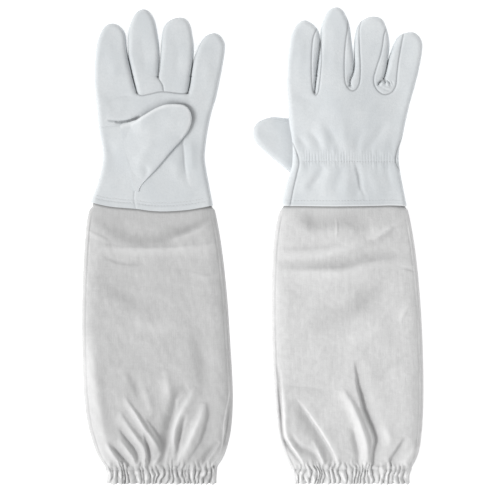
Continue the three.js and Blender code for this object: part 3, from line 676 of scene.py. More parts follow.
    def shirring(self, xy):
        """The fine pleats that the wrist elastic draws up, and the dip along its middle."""
        x, y = xy.T
        phase = 2 * math.pi * x / SHIRR["pitch"] + 1.6 * waves(xy, 24, 8, (1, 6))
        reach = SHIRR["half"] * (1 + 0.35 * waves(xy, 7, 10, (1, 20)))
        band = falloff(y - SHIRR["y"], reach, 3)
        fan = falloff(y - SHIRR["y"], 2.6 * SHIRR["half"])
        sewn = 0.35 * falloff(y - WRIST_ROW, 0.9)
        pleats = SHIRR["height"] * band * (0.7 + 0.4 * waves(xy, 9, 14, (1, 9))) * np.cos(phase)
        return pleats + 0.45 * (fan - band) * waves(xy, 11, 9, (1, 5)) - 0.7 * band - sewn

    def lower(self, xy):
        gap = self.outline_gap(xy)
        height = self.seam_z(xy) * (1 - dome(gap / UNDER_ROLL))
        height = height + smooth(gap / 4) * 0.6 * self.grooves(xy, "low")[0]
        if self.palm_up:
            band = falloff(xy[:, 1] - SHIRR["y"], SHIRR["half"], 3)
            pleats = 1 + np.cos(2 * math.pi * xy[:, 0] / SHIRR["pitch"] + 1.5 * waves(xy, 24, 8, (1, 6)))
            height = height + smooth(gap / 5) * SHIRR["height"] * band * pleats
        return height + self.lift(xy)

    def beyond_root(self, xy):
        """How far a point is on the thumb's side of the thumb's root."""
        return (xy - self.root[0]) @ self.thumbward

    def folded_rise(self, xy):
        """How far the folded thumb, and the heel drawn up with it, rise over the palm: seam and crown."""
        clearance, seam, crown = THUMB_RISE
        pinned = smooth(np.minimum(nearest(self.heel_top, xy)[0], nearest(self.heel_seam, xy)[0]) / 24)
        share = pinned * smooth((self.beyond_root(xy) + 16) / 48)
        share = share * (0.6 + 0.4 * smooth((xy[:, 1] - 30) / 60))
        return share * (clearance + seam), share * crown

    def heel_height(self, xy):
        seam, crown = self.folded_rise(xy)
        return self.upper(xy) + seam + crown * pillow(nearest(self.thumb, xy)[0] / THUMB_ROLL)

    def thumb_height(self, xy, outer):
        gap = nearest(self.thumb, xy)[0]
        folds = smooth(gap / 4) * (relief(xy, RELIEF[self.side, "thumb"]) + 0.2 * waves(xy, 24, 12))
        if not self.palm_up:
            if outer:
                return SWUNG_THUMB[0] + (SWUNG_THUMB[1] - SWUNG_THUMB[0]) * pillow(gap / 8) + folds
            return SWUNG_THUMB[0] * (1 - dome(gap / UNDER_ROLL))
        base = self.upper(xy, grooved=False)
        seam, crown = self.folded_rise(xy)
        if outer:
            return base + seam + crown * pillow(gap / THUMB_ROLL) + folds * smooth(self.beyond_root(xy) / 12)
        share = seam / (THUMB_RISE[0] + THUMB_RISE[1])
        return base + share * (THUMB_RISE[0] + THUMB_RISE[1] * (1 - dome(gap / UNDER_ROLL)))


# ---- meshes --------------------------------------------------------------------------------------

def fill(loop, lines=(), spacing=MESH, extra=None, covered=None):
    """Triangles over the inside of an outline, finer along its edge, with the given straight lines as edges.

    The extra points stand in for the even ones wherever covered says so.
    """
    loop = loop[np.linalg.norm(loop - np.roll(loop, 1, axis=0), axis=1) > 1e-6]
    turn = (loop[:, 0] * np.roll(loop[:, 1], -1) - np.roll(loop[:, 0], -1) * loop[:, 1]).sum()
    if turn < 0:
        loop = loop[::-1]
    closed = np.vstack([loop, loop[:1]])
    run = np.roll(loop, -1, axis=0) - np.roll(loop, 1, axis=0)
    length = np.maximum(np.linalg.norm(run, axis=1), 1e-9)
    inward = np.column_stack([-run[:, 1], run[:, 0]]) / length[:, None]
    points = [loop]
    for ring in EDGE_RINGS:
        near = loop + inward * ring
        near = near[inside(loop, near)]
        points.append(near[nearest(closed, near)[0] > 0.85 * ring])
    low, high = loop.min(0), loop.max(0)
    grid = []
    for k, y in enumerate(np.arange(low[1], high[1], spacing * 0.866)):
        x = np.arange(low[0] + (k % 2) * spacing / 2, high[0], spacing)
        grid.append(level_row(x, y))
    grid = np.vstack(grid)
    if extra is not None:
        grid = np.vstack([grid[~covered(grid)], extra])
    grid = grid[inside(loop, grid)]
    grid = grid[nearest(closed, grid)[0] > EDGE_CLEAR]
    edges, on_lines = [], []
    for a, b in lines:
        count = max(2, round(float(np.linalg.norm(b - a)) / spacing))
        between = a + (b - a) * (np.arange(1, count) / count)[:, None]
        grid = grid[nearest(np.array([a, b]), grid)[0] > 0.6 * spacing]
        base = len(loop) + sum(len(p) for p in on_lines)
        ends = [int(np.linalg.norm(loop - p, axis=1).argmin()) for p in (a, b)]
        chain = [ends[0], *range(base, base + len(between)), ends[1]]
        edges += list(zip(chain, chain[1:]))
        on_lines.append(between)
    rings = np.vstack(points[1:])
    for a, b in lines:
        rings = rings[nearest(np.array([a, b]), rings)[0] > 0.3]
    cloud = np.vstack([loop, *on_lines, rings, grid])
    out = delaunay_2d_cdt([tuple(p) for p in cloud], edges, [list(range(len(loop)))], 1, 1e-6)
    xy = np.array([tuple(v) for v in out[0]])
    triangles = np.array(out[2])
    a, b, c = xy[triangles[:, 0]], xy[triangles[:, 1]], xy[triangles[:, 2]]
    area = (b[:, 0] - a[:, 0]) * (c[:, 1] - a[:, 1]) - (b[:, 1] - a[:, 1]) * (c[:, 0] - a[:, 0])
    triangles[area < 0] = triangles[area < 0][:, ::-1]
    return xy, triangles[np.abs(area) > 1e-7]


class Cut:
    """One cut of leather or canvas as a surface.

    flat is where each point was on the uncut cloth. painted_light is painted shade above 0, in seams and
    crevices, and a painted highlight below 0, on crests and on edges.
    """

    def __init__(self, points, faces, flat, painted_light):
        self.points, self.faces, self.flat, self.painted_light = points, faces, flat, painted_light

    @staticmethod
    def joined(cuts):
        """The cuts as one, with the points that they share merged."""
        points = np.vstack([c.points for c in cuts])
        shift = np.cumsum([0] + [len(c.points) for c in cuts])
        faces = np.vstack([c.faces + s for c, s in zip(cuts, shift)])
        _, first, which = np.unique(np.round(points, 3), axis=0, return_index=True, return_inverse=True)
        flat = np.vstack([c.flat for c in cuts])[first]
        painted_light = np.concatenate([c.painted_light for c in cuts])[first]
        faces = which.reshape(-1)[faces]
        whole = (faces[:, 0] != faces[:, 1]) & (faces[:, 1] != faces[:, 2]) & (faces[:, 2] != faces[:, 0])
        return Cut(points[first], faces[whole], flat, painted_light)

    def normals(self):
        quads = self.faces.shape[1] == 4
        a, b, c = (self.points[self.faces[:, k]] for k in (0, 1, 2))
        face = np.cross(c - a, self.points[self.faces[:, 3]] - b) if quads else np.cross(b - a, c - a)
        normal = np.zeros_like(self.points)
        for k in range(self.faces.shape[1]):
            np.add.at(normal, self.faces[:, k], face)
        return normal / np.maximum(np.linalg.norm(normal, axis=1), 1e-12)[:, None]


def grid_faces(rows, columns, face):
    """The quads of a grid of points, facing up or, if face is low, down."""
    faces = np.array([
        [r * columns + c, (r + 1) * columns + c, (r + 1) * columns + c + 1, r * columns + c + 1]
        for r in range(rows - 1) for c in range(columns - 1)
    ])
    return faces if face == "up" else faces[:, ::-1]


def closed_shell(cut, chosen, normals, thickness):
    """The chosen faces of a cut as a closed shell: points, faces, corner normals, flat map and painted
    light.
    """
    used, which = np.unique(cut.faces[chosen], return_inverse=True)
    faces = which.reshape(-1, cut.faces.shape[1])
    n = len(used)
    points = np.vstack([cut.points[used], cut.points[used] - normals[used] * thickness])
    sides = np.vstack([
        np.column_stack([faces[:, k], np.roll(faces, -1, axis=1)[:, k]]) for k in range(faces.shape[1])
    ])
    code = sides[:, 0] * n + sides[:, 1]
    back = sides[:, 1] * n + sides[:, 0]
    rim = sides[~np.isin(code, back)]
    outward = np.zeros((n, 3))
    facing = np.cross(cut.points[used[rim[:, 1]]] - cut.points[used[rim[:, 0]]], normals[used[rim[:, 0]]])
    for k in (0, 1):
        np.add.at(outward, rim[:, k], facing)
    outward /= np.maximum(np.linalg.norm(outward, axis=1), 1e-12)[:, None]
    inner = faces[:, ::-1]
    edge = np.column_stack([rim[:, 1], rim[:, 0], rim[:, 0] + n, rim[:, 1] + n])
    all_faces = [*faces.tolist(), *(inner + n).tolist(), *edge.tolist()]
    corner_normals = np.vstack([
        normals[used][faces.ravel()], -normals[used][inner.ravel()], outward[edge.ravel() % n],
    ])
    return points, all_faces, corner_normals, np.tile(cut.flat[used], (2, 1)), np.tile(cut.painted_light[used], 2)


def add_object(name, points, faces, material, normals=None, flat=None, painted_light=None):
    """A mesh object from points in millimetres in the row frame."""
    mesh = bpy.data.meshes.new(name)
    mesh.from_pydata((np.asarray(points) / 1000).tolist(), [], [list(f) for f in faces])
    mesh.polygons.foreach_set("use_smooth", np.ones(len(mesh.polygons), bool))
    if flat is not None:
        loops = np.empty(len(mesh.loops), int)
        mesh.loops.foreach_get("vertex_index", loops)
        layer = mesh.uv_layers.new(name="flat")
        layer.data.foreach_set("uv", (flat[loops] / 1000).astype(np.float32).ravel())
    # painted shade and painted highlights, which the materials turn into darker and lighter colour
    attribute = mesh.attributes.new("painted_light", "FLOAT", "POINT")
    attribute.data.foreach_set("value", np.asarray(np.zeros(len(points)) if painted_light is None else painted_light, "f4"))
    if normals is not None:
        mesh.normals_split_custom_set(normals.tolist())
    mesh.materials.append(material)
    mesh.update()
    obj = bpy.data.objects.new(name, mesh)
    bpy.context.scene.collection.objects.link(obj)
    return obj


# ---- leather -------------------------------------------------------------------------------------

def laid(*lines):
    """One outline from lines laid end to end."""
    out = [lines[0]]
    for line in lines[1:]:
        out.append(line[1:] if np.linalg.norm(line[0] - out[-1][-1]) < 1e-6 else line)
    whole = np.vstack(out)
    return whole[:-1] if np.linalg.norm(whole[0] - whole[-1]) < 1e-6 else whole


def at(line, point):
    return int(np.linalg.norm(line - point, axis=1).argmin())


def stretch(line, start, end):
    """The part of a line from the point nearest start to the point nearest end."""
    first, last = at(line, start), at(line, end)
    return line[first:last + 1] if first <= last else line[last:first + 1][::-1]


def knuckle_lines(loop):
    """Straight lines across the fingers at the knuckles, so that a cut can be split there."""
    level = loop[np.abs(loop[:, 1] - KNUCKLE) < 1e-9]
    level = level[np.argsort(level[:, 0])]
    return list(zip(level[0::2], level[1::2]))


def fine_points(glove, face):
    """Closer points round the hem's stitching and in the band that the wrist elastic gathers."""
    x = np.arange(*HAND_SPAN, HEM_MESH)
    hem = np.interp(x, glove.hem[:, 0], glove.hem[:, 1])
    rows = [np.column_stack([x, hem + row + d]) for row in glove.hem_rows for d in (-1.4, -0.6, 0, 0.6, 1.2)]
    on_back = (face == "up") != glove.palm_up
    if on_back:
        x = np.arange(*HAND_SPAN, SHIRR_MESH["x"])
        levels = np.arange(SHIRR_MESH["low"], SHIRR_MESH["high"], SHIRR_MESH["y"])
        rows += [level_row(x, y) for y in levels]

    patches = glove.shape["fine"] if face == "up" else []
    for x_low, x_high, y_low, y_high in patches:
        grid = np.meshgrid(np.arange(x_low, x_high, FINE_MESH), np.arange(y_low, y_high, FINE_MESH))
        rows.append(np.column_stack([side.ravel() for side in grid]))

    def covered(xy):
        above = glove.above_hem(xy)
        band = (above > glove.hem_rows[0] - 2.2) & (above < glove.hem_rows[1] + 2.2)
        for x_low, x_high, y_low, y_high in patches:
            band |= (np.abs(2 * xy[:, 0] - x_low - x_high) < x_high - x_low) & (
                np.abs(2 * xy[:, 1] - y_low - y_high) < y_high - y_low
            )
        if on_back:
            low, high = SHIRR_MESH["clear"]
            band |= (xy[:, 1] > low) & (xy[:, 1] < high)
        return band

    return np.vstack(rows), covered


def face_cut(glove, loop, face, height=None):
    """The region inside a loop as a surface on the upper or the lower face of a glove."""
    extra, covered = fine_points(glove, face)
    xy, triangles = fill(loop, knuckle_lines(loop), extra=extra, covered=covered)
    z = (height or (glove.upper if face == "up" else glove.lower))(xy)
    painted_light = glove.painted_light(xy, face)
    if face == "low":
        triangles = triangles[:, ::-1]
    return Cut(np.column_stack([xy, z]), triangles, xy * (1 if face == "up" else -1), painted_light)


def leather_cuts(glove):
    """Every cut of leather of one hand, by name."""
    fingers, hem, gunn, between = glove.fingers, glove.hem, glove.gunn, glove.between
    index, middle, ring, little = fingers.values()
    heel_top, heel_seam = glove.heel_top, glove.heel_seam
    left, right = glove.side_seams["left"], glove.side_seams["right"]
    palm_face, back_face = ("up", "low") if glove.palm_up else ("low", "up")
    palm = laid(
        stretch(index, heel_top[0], index[-1]), gunn, little, stretch(hem, hem[-1], heel_seam[-1]),
        heel_seam[::-1], glove.root[::-1], heel_top[::-1],
    )
    middle_front = laid(middle, between, stretch(gunn, between[-1], gunn[0]))
    ring_front = laid(ring, stretch(gunn, gunn[-1], between[-1]), between[::-1])
    heel = laid(
        stretch(index, index[0], heel_top[0]), heel_top, glove.root, heel_seam,
        stretch(hem, heel_seam[-1], hem[0]),
    )
    back = [left[::-1]]
    for (one, _), seam in glove.back_seams.items():
        back += [stretch(fingers[one], back[-1][-1], seam[0]), seam]
    back = laid(
        *back, stretch(little, back[-1][-1], right[0]), right,
        stretch(little, right[-1], little[-1]), stretch(hem, hem[-1], left[-1]),
    )
    left_wrap = laid(stretch(hem, hem[0], left[-1]), left[::-1], stretch(index, left[0], index[0]))
    right_wrap = laid(right, stretch(little, right[-1], right[0]))
    heel_cuts = [
        face_cut(glove, heel, palm_face, glove.heel_height if glove.palm_up else None),
        face_cut(glove, left_wrap, back_face),
    ]
    cuts = {
        "palm": Cut.joined([face_cut(glove, palm, palm_face), face_cut(glove, right_wrap, back_face)]),
        "middle_front": face_cut(glove, middle_front, palm_face),
        "ring_front": face_cut(glove, ring_front, palm_face),
        "back": face_cut(glove, back, back_face),
    }
    for (one, other), seam in glove.back_seams.items():
        a, b = fingers[one], fingers[other]
        strip = laid(seam, stretch(b, seam[-1], b[0]), stretch(a, a[-1], seam[0]))
        cuts[f"{one}_{other}_fourchette"] = face_cut(glove, strip, back_face)
    outer = thumb_panel(glove, True)
    if glove.palm_up:
        cuts["heel_and_thumb"] = Cut.joined([*heel_cuts, outer])
    else:
        cuts["heel"] = Cut.joined(heel_cuts)
        cuts["thumb_outer"] = outer
    cuts["thumb_inner"] = thumb_panel(glove, False)
    return cuts


def thumb_panel(glove, outer):
    """The upper or the lower panel of a thumb, from its root to its outline."""
    loop = laid(glove.thumb, glove.root[::-1])
    xy, triangles = fill(loop, spacing=THUMB_MESH)
    z = glove.thumb_height(xy, outer)
    if not outer:
        triangles = triangles[:, ::-1]
    gap = nearest(glove.thumb, xy)[0]
    if glove.palm_up:  # painted highlight along the top and the tip
        painted_light = -smooth((xy[:, 1] - 60) / 36) * falloff(gap - 1.4, 1.9)
    else:
        # painted shadow over the thumb that lies under the hand, darker near the hand's outline
        painted_light = 0.42 + 0.3 * falloff(glove.outline_gap(xy), 7)
    return Cut(np.column_stack([xy, z]), triangles, xy + (THUMB_FLAT, 0), painted_light)


def finger_of(glove, xy):
    """The index of the finger that each point is on, or -1 on the hand."""
    owner = np.full(len(xy), -1)
    for k, line in enumerate(glove.fingers.values()):
        above_knuckle = line[line[:, 1] > KNUCKLE - 1e-6]
        owner[inside(above_knuckle, xy) & (xy[:, 1] > KNUCKLE)] = k
    return owner


def add_shell(glove, name, cut, chosen, normals, thickness, material):
    points, faces, corner_normals, flat, painted_light = closed_shell(cut, chosen, normals, thickness)
    name = f"{glove.side}_{name}"
    return add_object(name, points + glove.origin, faces, material, corner_normals, flat, painted_light)


def add_whole(glove, name, cut, thickness, material):
    """A whole cut as one shell."""
    return add_shell(glove, name, cut, np.ones(len(cut.faces), bool), cut.normals(), thickness, material)


LEATHER_NODES = {
    # cut: {body: CAD nodes that this part of the cut stands for}
    "palm": {"hand": ["palm_panel"], "index": ["index_front"], "little": ["little_front"]},
    "middle_front": {"hand": [], "middle": ["middle_front"]},
    "ring_front": {"hand": [], "ring": ["ring_front"]},
    "back": {"hand": ["back_panel"], **{f: [f"{f}_back"] for f in FINGERS}},
    **{
        f"{one}_{other}_fourchette": {
            "hand": [], one: [f"{one}_fourchette_little_side"], other: [f"{other}_fourchette_thumb_side"],
        }
        for one, other in zip(FINGERS, FINGERS[1:])
    },
    "heel": {"hand": ["heel_panel"]},
    "heel_and_thumb": {"hand": ["heel_panel", "thumb_outer"]},
    "thumb_outer": {"hand": ["thumb_outer"]},
    "thumb_inner": {"hand": ["thumb_inner"]},
}


def add_leather(glove, materials):
    """The hand and the thumb. Each cut is split where it crosses onto a finger."""
    leather = materials[f"leather_{glove.side}"]
    for cut_name, cut in leather_cuts(glove).items():
        normals = cut.normals()
        owner = finger_of(glove, cut.points[cut.faces].mean(1)[:, :2])
        for body, nodes in LEATHER_NODES[cut_name].items():
            chosen = owner == (FINGERS.index(body) if body in FINGERS else -1)
            piece_name = cut_name if body == "hand" else f"{cut_name}_of_{body}"
            piece = add_shell(glove, f"{piece_name}_leather", cut, chosen, normals, LEATHER, leather)
            if body in FINGERS:
                bend(glove, piece, f"{body}_finger", (0, KNUCKLE), (0, KNUCKLE + BEND))
            elif "thumb" in cut_name:
                middle = (glove.root[0] + glove.root[-1]) / 2
                bend(glove, piece, "thumb", *(middle + glove.thumbward * far for far in THUMB_BEND))
            else:
                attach(piece, f"{glove.side}_hand")
            if nodes:
                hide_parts(*(f"{glove.side}_{node}" for node in nodes))


def bend(glove, piece, part, start, end):
    """Works out two places on the glove, in metres, and bakes the piece's place into its points."""
    places = (tuple((np.append(place, 0) + glove.origin) / 1000) for place in (start, end))
    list(places)
    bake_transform(piece)


# ---- sleeves -------------------------------------------------------------------------------------

class Sleeve:
    """The two canvas panels of one sleeve as height fields over its outline."""

    def __init__(self, glove):
        self.glove = glove
        rows = np.array(glove.shape["sleeve"])
        self.left, self.right = curve(rows[:, [1, 0]], 3), curve(rows[:, [2, 0]], 3)
        self.seed = 21 if glove.palm_up else 31

        rng = np.random.default_rng(self.seed)
        left, right = self.edges(CASING["top"])
        count = round((right - left) / CASING["pleat"])
        widths = rng.uniform(0.55, 1.45, count)
        self.pleat_ends = left + (right - left) * np.concatenate([[0], np.cumsum(widths) / widths.sum()])
        self.pleat_height = rng.uniform(0.6, 1.1, count)
        self.pleat_reach = rng.uniform(5, 17, count)
        self.pleat_lean = rng.uniform(0.65, 1.6, count)

    def edges(self, y):
        """The sleeve's two sides at y. Under the leather the sleeve is a little narrower."""
        left = np.interp(-y, -self.left[:, 1], self.left[:, 0])
        right = np.interp(-y, -self.right[:, 1], self.right[:, 0])
        tuck = 2.2 * smooth((y + 5) / 5)
        return left + tuck, right - tuck

    def row(self, y, u):
        """Points across the sleeve at y, u being 0 at its left side and 1 at its right."""
        left, right = self.edges(y)
        return level_row(left + (right - left) * u, y)

    def pleats(self, xy):
        """The gathers of the arm opening, from 0 in each valley to about 1, drawn up by the elastic."""
        x = xy[:, 0] + 1.9 * waves(xy, 24, self.seed + 5) + 0.5 * waves(xy, 8, self.seed + 7)
        last = len(self.pleat_height) - 1
        k = np.clip(np.searchsorted(self.pleat_ends, x) - 1, 0, last)
        t = np.clip((x - self.pleat_ends[k]) / (self.pleat_ends[k + 1] - self.pleat_ends[k]), 0, 1)
        ridge = np.sin(math.pi * t ** self.pleat_lean[k]) ** 0.75
        above = xy[:, 1] - CASING["top"]
        fade = 1 - smooth(above / self.pleat_reach[k])
        waist = 1 - 0.35 * falloff(above, 1.4)
        puffed = 0.85 + 0.3 * waves(xy, 9, self.seed + 6)
        return ridge * self.pleat_height[k] * fade * waist * puffed

    def height(self, xy, face):
        """z of the outside of the canvas. face is up or low."""
        x, y = xy.T
        left, right = self.edges(y)
        gap = np.maximum(np.minimum(x - left, right - x), 0)
        out = smooth((-3 - self.glove.above_hem(xy)) / 22)  # 0 where the leather covers the canvas
        casing = smooth((CASING["top"] + 10 - y) / 10)
        pleats = CASING["height"] * self.pleats(xy)
        if face == "low":
            z = SEAM_Z * (1 - dome(gap / (UNDER_ROLL + 2 * (1 - out))))
            return z + smooth(gap / 5) * (1.5 * (1 - out) + 0.5 * pleats) + self.glove.lift(xy)
        top = SLEEVE_TOP + 2.0 * smooth((-40 - y) / 80) - 3.6 * casing
        inner = HAND_TOP - LEATHER - 1.2
        crown = out * top + (1 - out) * inner
        free = smooth(gap / 7)
        folds = FOLDS * relief(xy, RELIEF[self.glove.side, "canvas"]) * (1 - 0.6 * casing)
        soft = 0.7 * waves(xy, 60, self.seed + 1, (1, 1.2)) + 0.45 * waves(xy, 24, self.seed + 2, (1.3, 1))
        soft = soft + 0.13 * waves(xy, 8, self.seed + 3)
        fell = 0.5 * (1 - smooth((gap - 4) / 0.7)) * smooth(gap / 1.5)
        fell = fell - 0.4 * falloff(gap - 4.8, 0.6)
        stitched = 0.9 * falloff(y - CASING["top"], 1.2)
        z = SEAM_Z + (crown - SEAM_Z) * dome(gap / SLEEVE_ROLL) + smooth(gap / 3) * pleats
        return z + free * out * (folds + soft - stitched) + out * fell + self.glove.lift(xy)

    def painted_light(self, xy, face):
        """Painted highlight below 0 on the crests of folds and gathers, painted shade above 0 in them and
        under the leather.
        """
        # painted shadow where the canvas goes under the leather's hem
        hem_shadow = CANVAS_MOST_SHADE * (1 - smooth((-0.3 - self.glove.above_hem(xy)) / 2.8))
        if face == "low":
            return hem_shadow
        folds = relief(xy, RELIEF[self.glove.side, "canvas"]) / 3.2
        # painted shade made deeper in the folds of the upper sleeve
        folds = np.where(folds < 0, folds * (0.7 + 0.9 * smooth((xy[:, 1] + 150) / 50)), folds)
        casing = smooth((CASING["top"] + 4 - xy[:, 1]) / 5)
        # painted highlight on the gathers' crests and painted shade in their valleys
        gathers = casing * (1.7 * self.pleats(xy) - 0.6)
        return np.clip(hem_shadow - folds * (1 - casing) - gathers, -1, CANVAS_MOST_SHADE)

    def end(self, xy):
        """How far the gathers push the arm opening's edge in and out."""
        return 1.8 * (0.5 - self.pleats(xy)) * smooth((CASING["top"] + 2 - xy[:, 1]) / 12)

    def panel(self, face):
        """One canvas panel as a grid, with its hem turned inside."""
        columns, step = SLEEVE_MESH[face]
        down = np.append(np.arange(UNDER_LEATHER, CASING["end"], -step), CASING["end"])
        u = np.linspace(0, 1, columns + 1)
        u = 0.5 - 0.5 * np.cos(math.pi * u) * 0.16 - 0.5 * (1 - 2 * u) * 0.84  # closer towards the sides
        sign = 1 if face == "up" else -1
        spread = np.array([self.row(y, u) for y in down])
        flat_xy = spread.reshape(-1, 2)
        outside = np.column_stack([flat_xy, self.height(flat_xy, face)])
        outside[:, 1] += self.end(flat_xy)
        painted_light = self.painted_light(flat_xy, face)
        rows, flat = list(outside.reshape(*spread.shape[:2], 3)), list(spread)
        last = rows[-1]
        for out_by, drop in HEM_TURN:
            turn = last.copy()
            turn[:, 1] -= out_by
            turn[:, 2] -= sign * drop * self.room(turn)
            rows.append(turn)
            flat.append(flat[-1] - (0, 0.9))
        folded_back = int(np.sum(down < CASING["top"] + 1.5))
        for row in rows[len(down) - folded_back:len(down)][::-1]:
            rows.append(row - np.column_stack([0 * row[:, :2], sign * HEM_THICKNESS * self.room(row)]))
            flat.append(flat[-1] - (0, step))
        points, flat = np.vstack(rows), np.vstack(flat)
        painted_light = np.concatenate([painted_light, np.zeros(len(points) - len(painted_light))])
        return Cut(points, grid_faces(len(rows), len(u), face), flat * (sign, 1), painted_light)

    def room(self, points):
        """1 across the middle of the opening, less towards its sides, where the two panels meet."""
        left, right = self.edges(points[:, 1])
        gap = np.minimum(points[:, 0] - left, right - points[:, 0])
        return dome(np.maximum(gap, 0) / 9)


def add_sleeve(glove, materials):
    sleeve = Sleeve(glove)
    faces = {"palm": "up", "back": "low"} if glove.palm_up else {"palm": "low", "back": "up"}
    for panel, face in faces.items():
        cut = sleeve.panel(face)
        piece = add_whole(glove, f"sleeve_{panel}_canvas", cut, CANVAS, materials[f"canvas_{panel}"])
        bend(glove, piece, "sleeve", *((0, y) for y in SLEEVE_BEND))
        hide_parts(f"{glove.side}_sleeve_{panel}_panel")
    add_arm_elastic(glove, sleeve, materials["elastic"])
    return sleeve


# ---- elastics ------------------------------------------------------------------------------------

def band_cut(height, rows, face, depth, flat_way=1):
    """One side of an elastic band, from rows of points, that far under the outside of the cloth."""
    inward = -1 if face == "up" else 1
    points = np.vstack([np.column_stack([xy, height(xy) + inward * depth]) for xy in rows])
    faces = grid_faces(len(rows), len(rows[0]), face)
    return Cut(points, faces, points[:, :2] * (flat_way, 1), np.zeros(len(points)))


def add_band(glove, name, cut, body, node, material):
    piece = add_whole(glove, name, cut, ELASTIC, material)
    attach(piece, f"{glove.side}_{body}")
    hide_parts(f"{glove.side}_{node}")


def add_arm_elastic(glove, sleeve, material):
    """The band in the arm opening's hem, inside both panels of the sleeve."""
    low, high = CASING["end"] + ARM_BAND["margin"], CASING["top"] - ARM_BAND["below_row"]
    u = np.linspace(0.02, 0.98, BAND_MESH["columns"])
    rows = [sleeve.row(y, u) for y in np.linspace(low, high, BAND_MESH["rows"])[::-1]]
    sides = [
        band_cut(lambda xy, f=face: sleeve.height(xy, f), rows, face, ARM_BAND["depth"], way)
        for face, way in (("up", 1), ("low", -1))
    ]
    add_band(glove, "arm_elastic_band", Cut.joined(sides), "sleeve", "arm_elastic", material)


def add_wrist_elastic(glove, material):
    """The band sewn flat inside the back of the wrist."""
    x = np.arange(WRIST_BAND["left"], WRIST_BAND["right"] + 0.1, BAND_MESH["x"])
    high, low = SHIRR["y"] + WRIST_BAND["half"], SHIRR["y"] - WRIST_BAND["half"]
    rows = [level_row(x, y) for y in np.linspace(high, low, BAND_MESH["rows"])]
    face, height = ("low", glove.lower) if glove.palm_up else ("up", glove.upper)
    cut = band_cut(height, rows, face, WRIST_BAND["depth"])
    add_band(glove, "wrist_elastic_band", cut, "hand", "wrist_elastic", material)


# ---- stitching -----------------------------------------------------------------------------------

def stitch(centre, along, up, length, radius):
    """One stitch: a short rounded bar whose ends dive into the cloth."""
    side = np.cross(up, along)
    # each section's place along the stitch, its size, and how far it sinks into the cloth
    sections = [(-1, 0.35, 0.32), (-0.75, 0.85, 0.1), (0, 1, 0), (0.75, 0.85, 0.1), (1, 0.35, 0.32)]
    points = []
    for place, size, sink in sections:
        middle = centre + along * (place * length / 2) - up * sink
        for k in range(6):
            turn = math.pi * k / 3
            points.append(middle + radius * size * (math.cos(turn) * side + math.sin(turn) * up))
    faces = [
        [r * 6 + k, r * 6 + (k + 1) % 6, r * 6 + 6 + (k + 1) % 6, r * 6 + 6 + k]
        for r in range(4) for k in range(6)
    ]
    faces += [[5, 4, 3, 2, 1, 0], [24, 25, 26, 27, 28, 29]]
    return points, faces


def add_stitches(glove, name, rows, body, node, material, kind):
    """Stitches along lines of points, each with the way that the surface faces."""
    pitch, length = STITCHES[kind]
    points, faces = [], []
    for line, up in rows:
        far = np.concatenate([[0], np.cumsum(np.linalg.norm(np.diff(line, axis=0), axis=1))])
        for where in np.arange(pitch / 2, far[-1] - pitch / 2, pitch):
            ends = [np.array([np.interp(where + d, far, line[:, k]) for k in range(3)]) for d in (-1, 0, 1)]
            along = ends[2] - ends[0]
            along /= np.linalg.norm(along)
            normal = np.array([np.interp(where, far, up[:, k]) for k in range(3)])
            normal -= along * (normal @ along)
            normal /= np.linalg.norm(normal)
            bar, bar_faces = stitch(ends[1] + normal * STITCH_RISE, along, normal, length, STITCH_RADIUS)
            faces += [[i + len(points) for i in f] for f in bar_faces]
            points += bar
    piece = add_object(f"{glove.side}_{name}", np.array(points) + glove.origin, faces, material)
    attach(piece, f"{glove.side}_{body}")
    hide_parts(f"{glove.side}_{node}")


def row_on(height, face, xy):
    """A line of points on a surface, and the way that it faces along it."""
    sign = 1 if face == "up" else -1
    reach = 0.6
    z = height(xy)
    slope = [(height(xy + step) - height(xy - step)) / (2 * reach) for step in ((reach, 0), (0, reach))]
    up = np.column_stack([-slope[0], -slope[1], np.ones(len(xy))]) * sign
    return np.column_stack([xy, z]), up / np.linalg.norm(up, axis=1)[:, None]


def add_threads(glove, sleeve, materials):
    thread = materials["thread"]
    for name, above in zip(("hem_thread_lower", "hem_thread_upper"), glove.hem_rows):
        line = glove.hem + (0, above)
        line = line[inside(glove.outline, line) & (glove.outline_gap(line) > 1.5)]
        rows = [row_on(glove.upper, "up", line), row_on(glove.lower, "low", line)]
        add_stitches(glove, f"{name}_stitches", rows, "hand", name, thread, "hem")

    face, height = ("low", glove.lower) if glove.palm_up else ("up", glove.upper)
    x = np.arange(-49, 52, 1.5)
    line = np.column_stack([x, WRIST_ROW + 0.25 * np.sin(x / 3)])
    line = line[glove.outline_gap(line) > 3]
    rows = [row_on(height, face, line)]
    add_stitches(glove, "wrist_stitches", rows, "hand", "wrist_thread", thread, "wrist")

    left, right = sleeve.edges(CASING["top"])
    x = np.arange(left + 2.5, right - 2.5, 0.8)
    line = level_row(x, CASING["top"])
    rows = [row_on(lambda xy, f=face: sleeve.height(xy, f), face, line) for face in ("up", "low")]
    add_stitches(glove, "casing_stitches", rows, "sleeve", "casing_thread", thread, "casing")


# ---- materials -----------------------------------------------------------------------------------

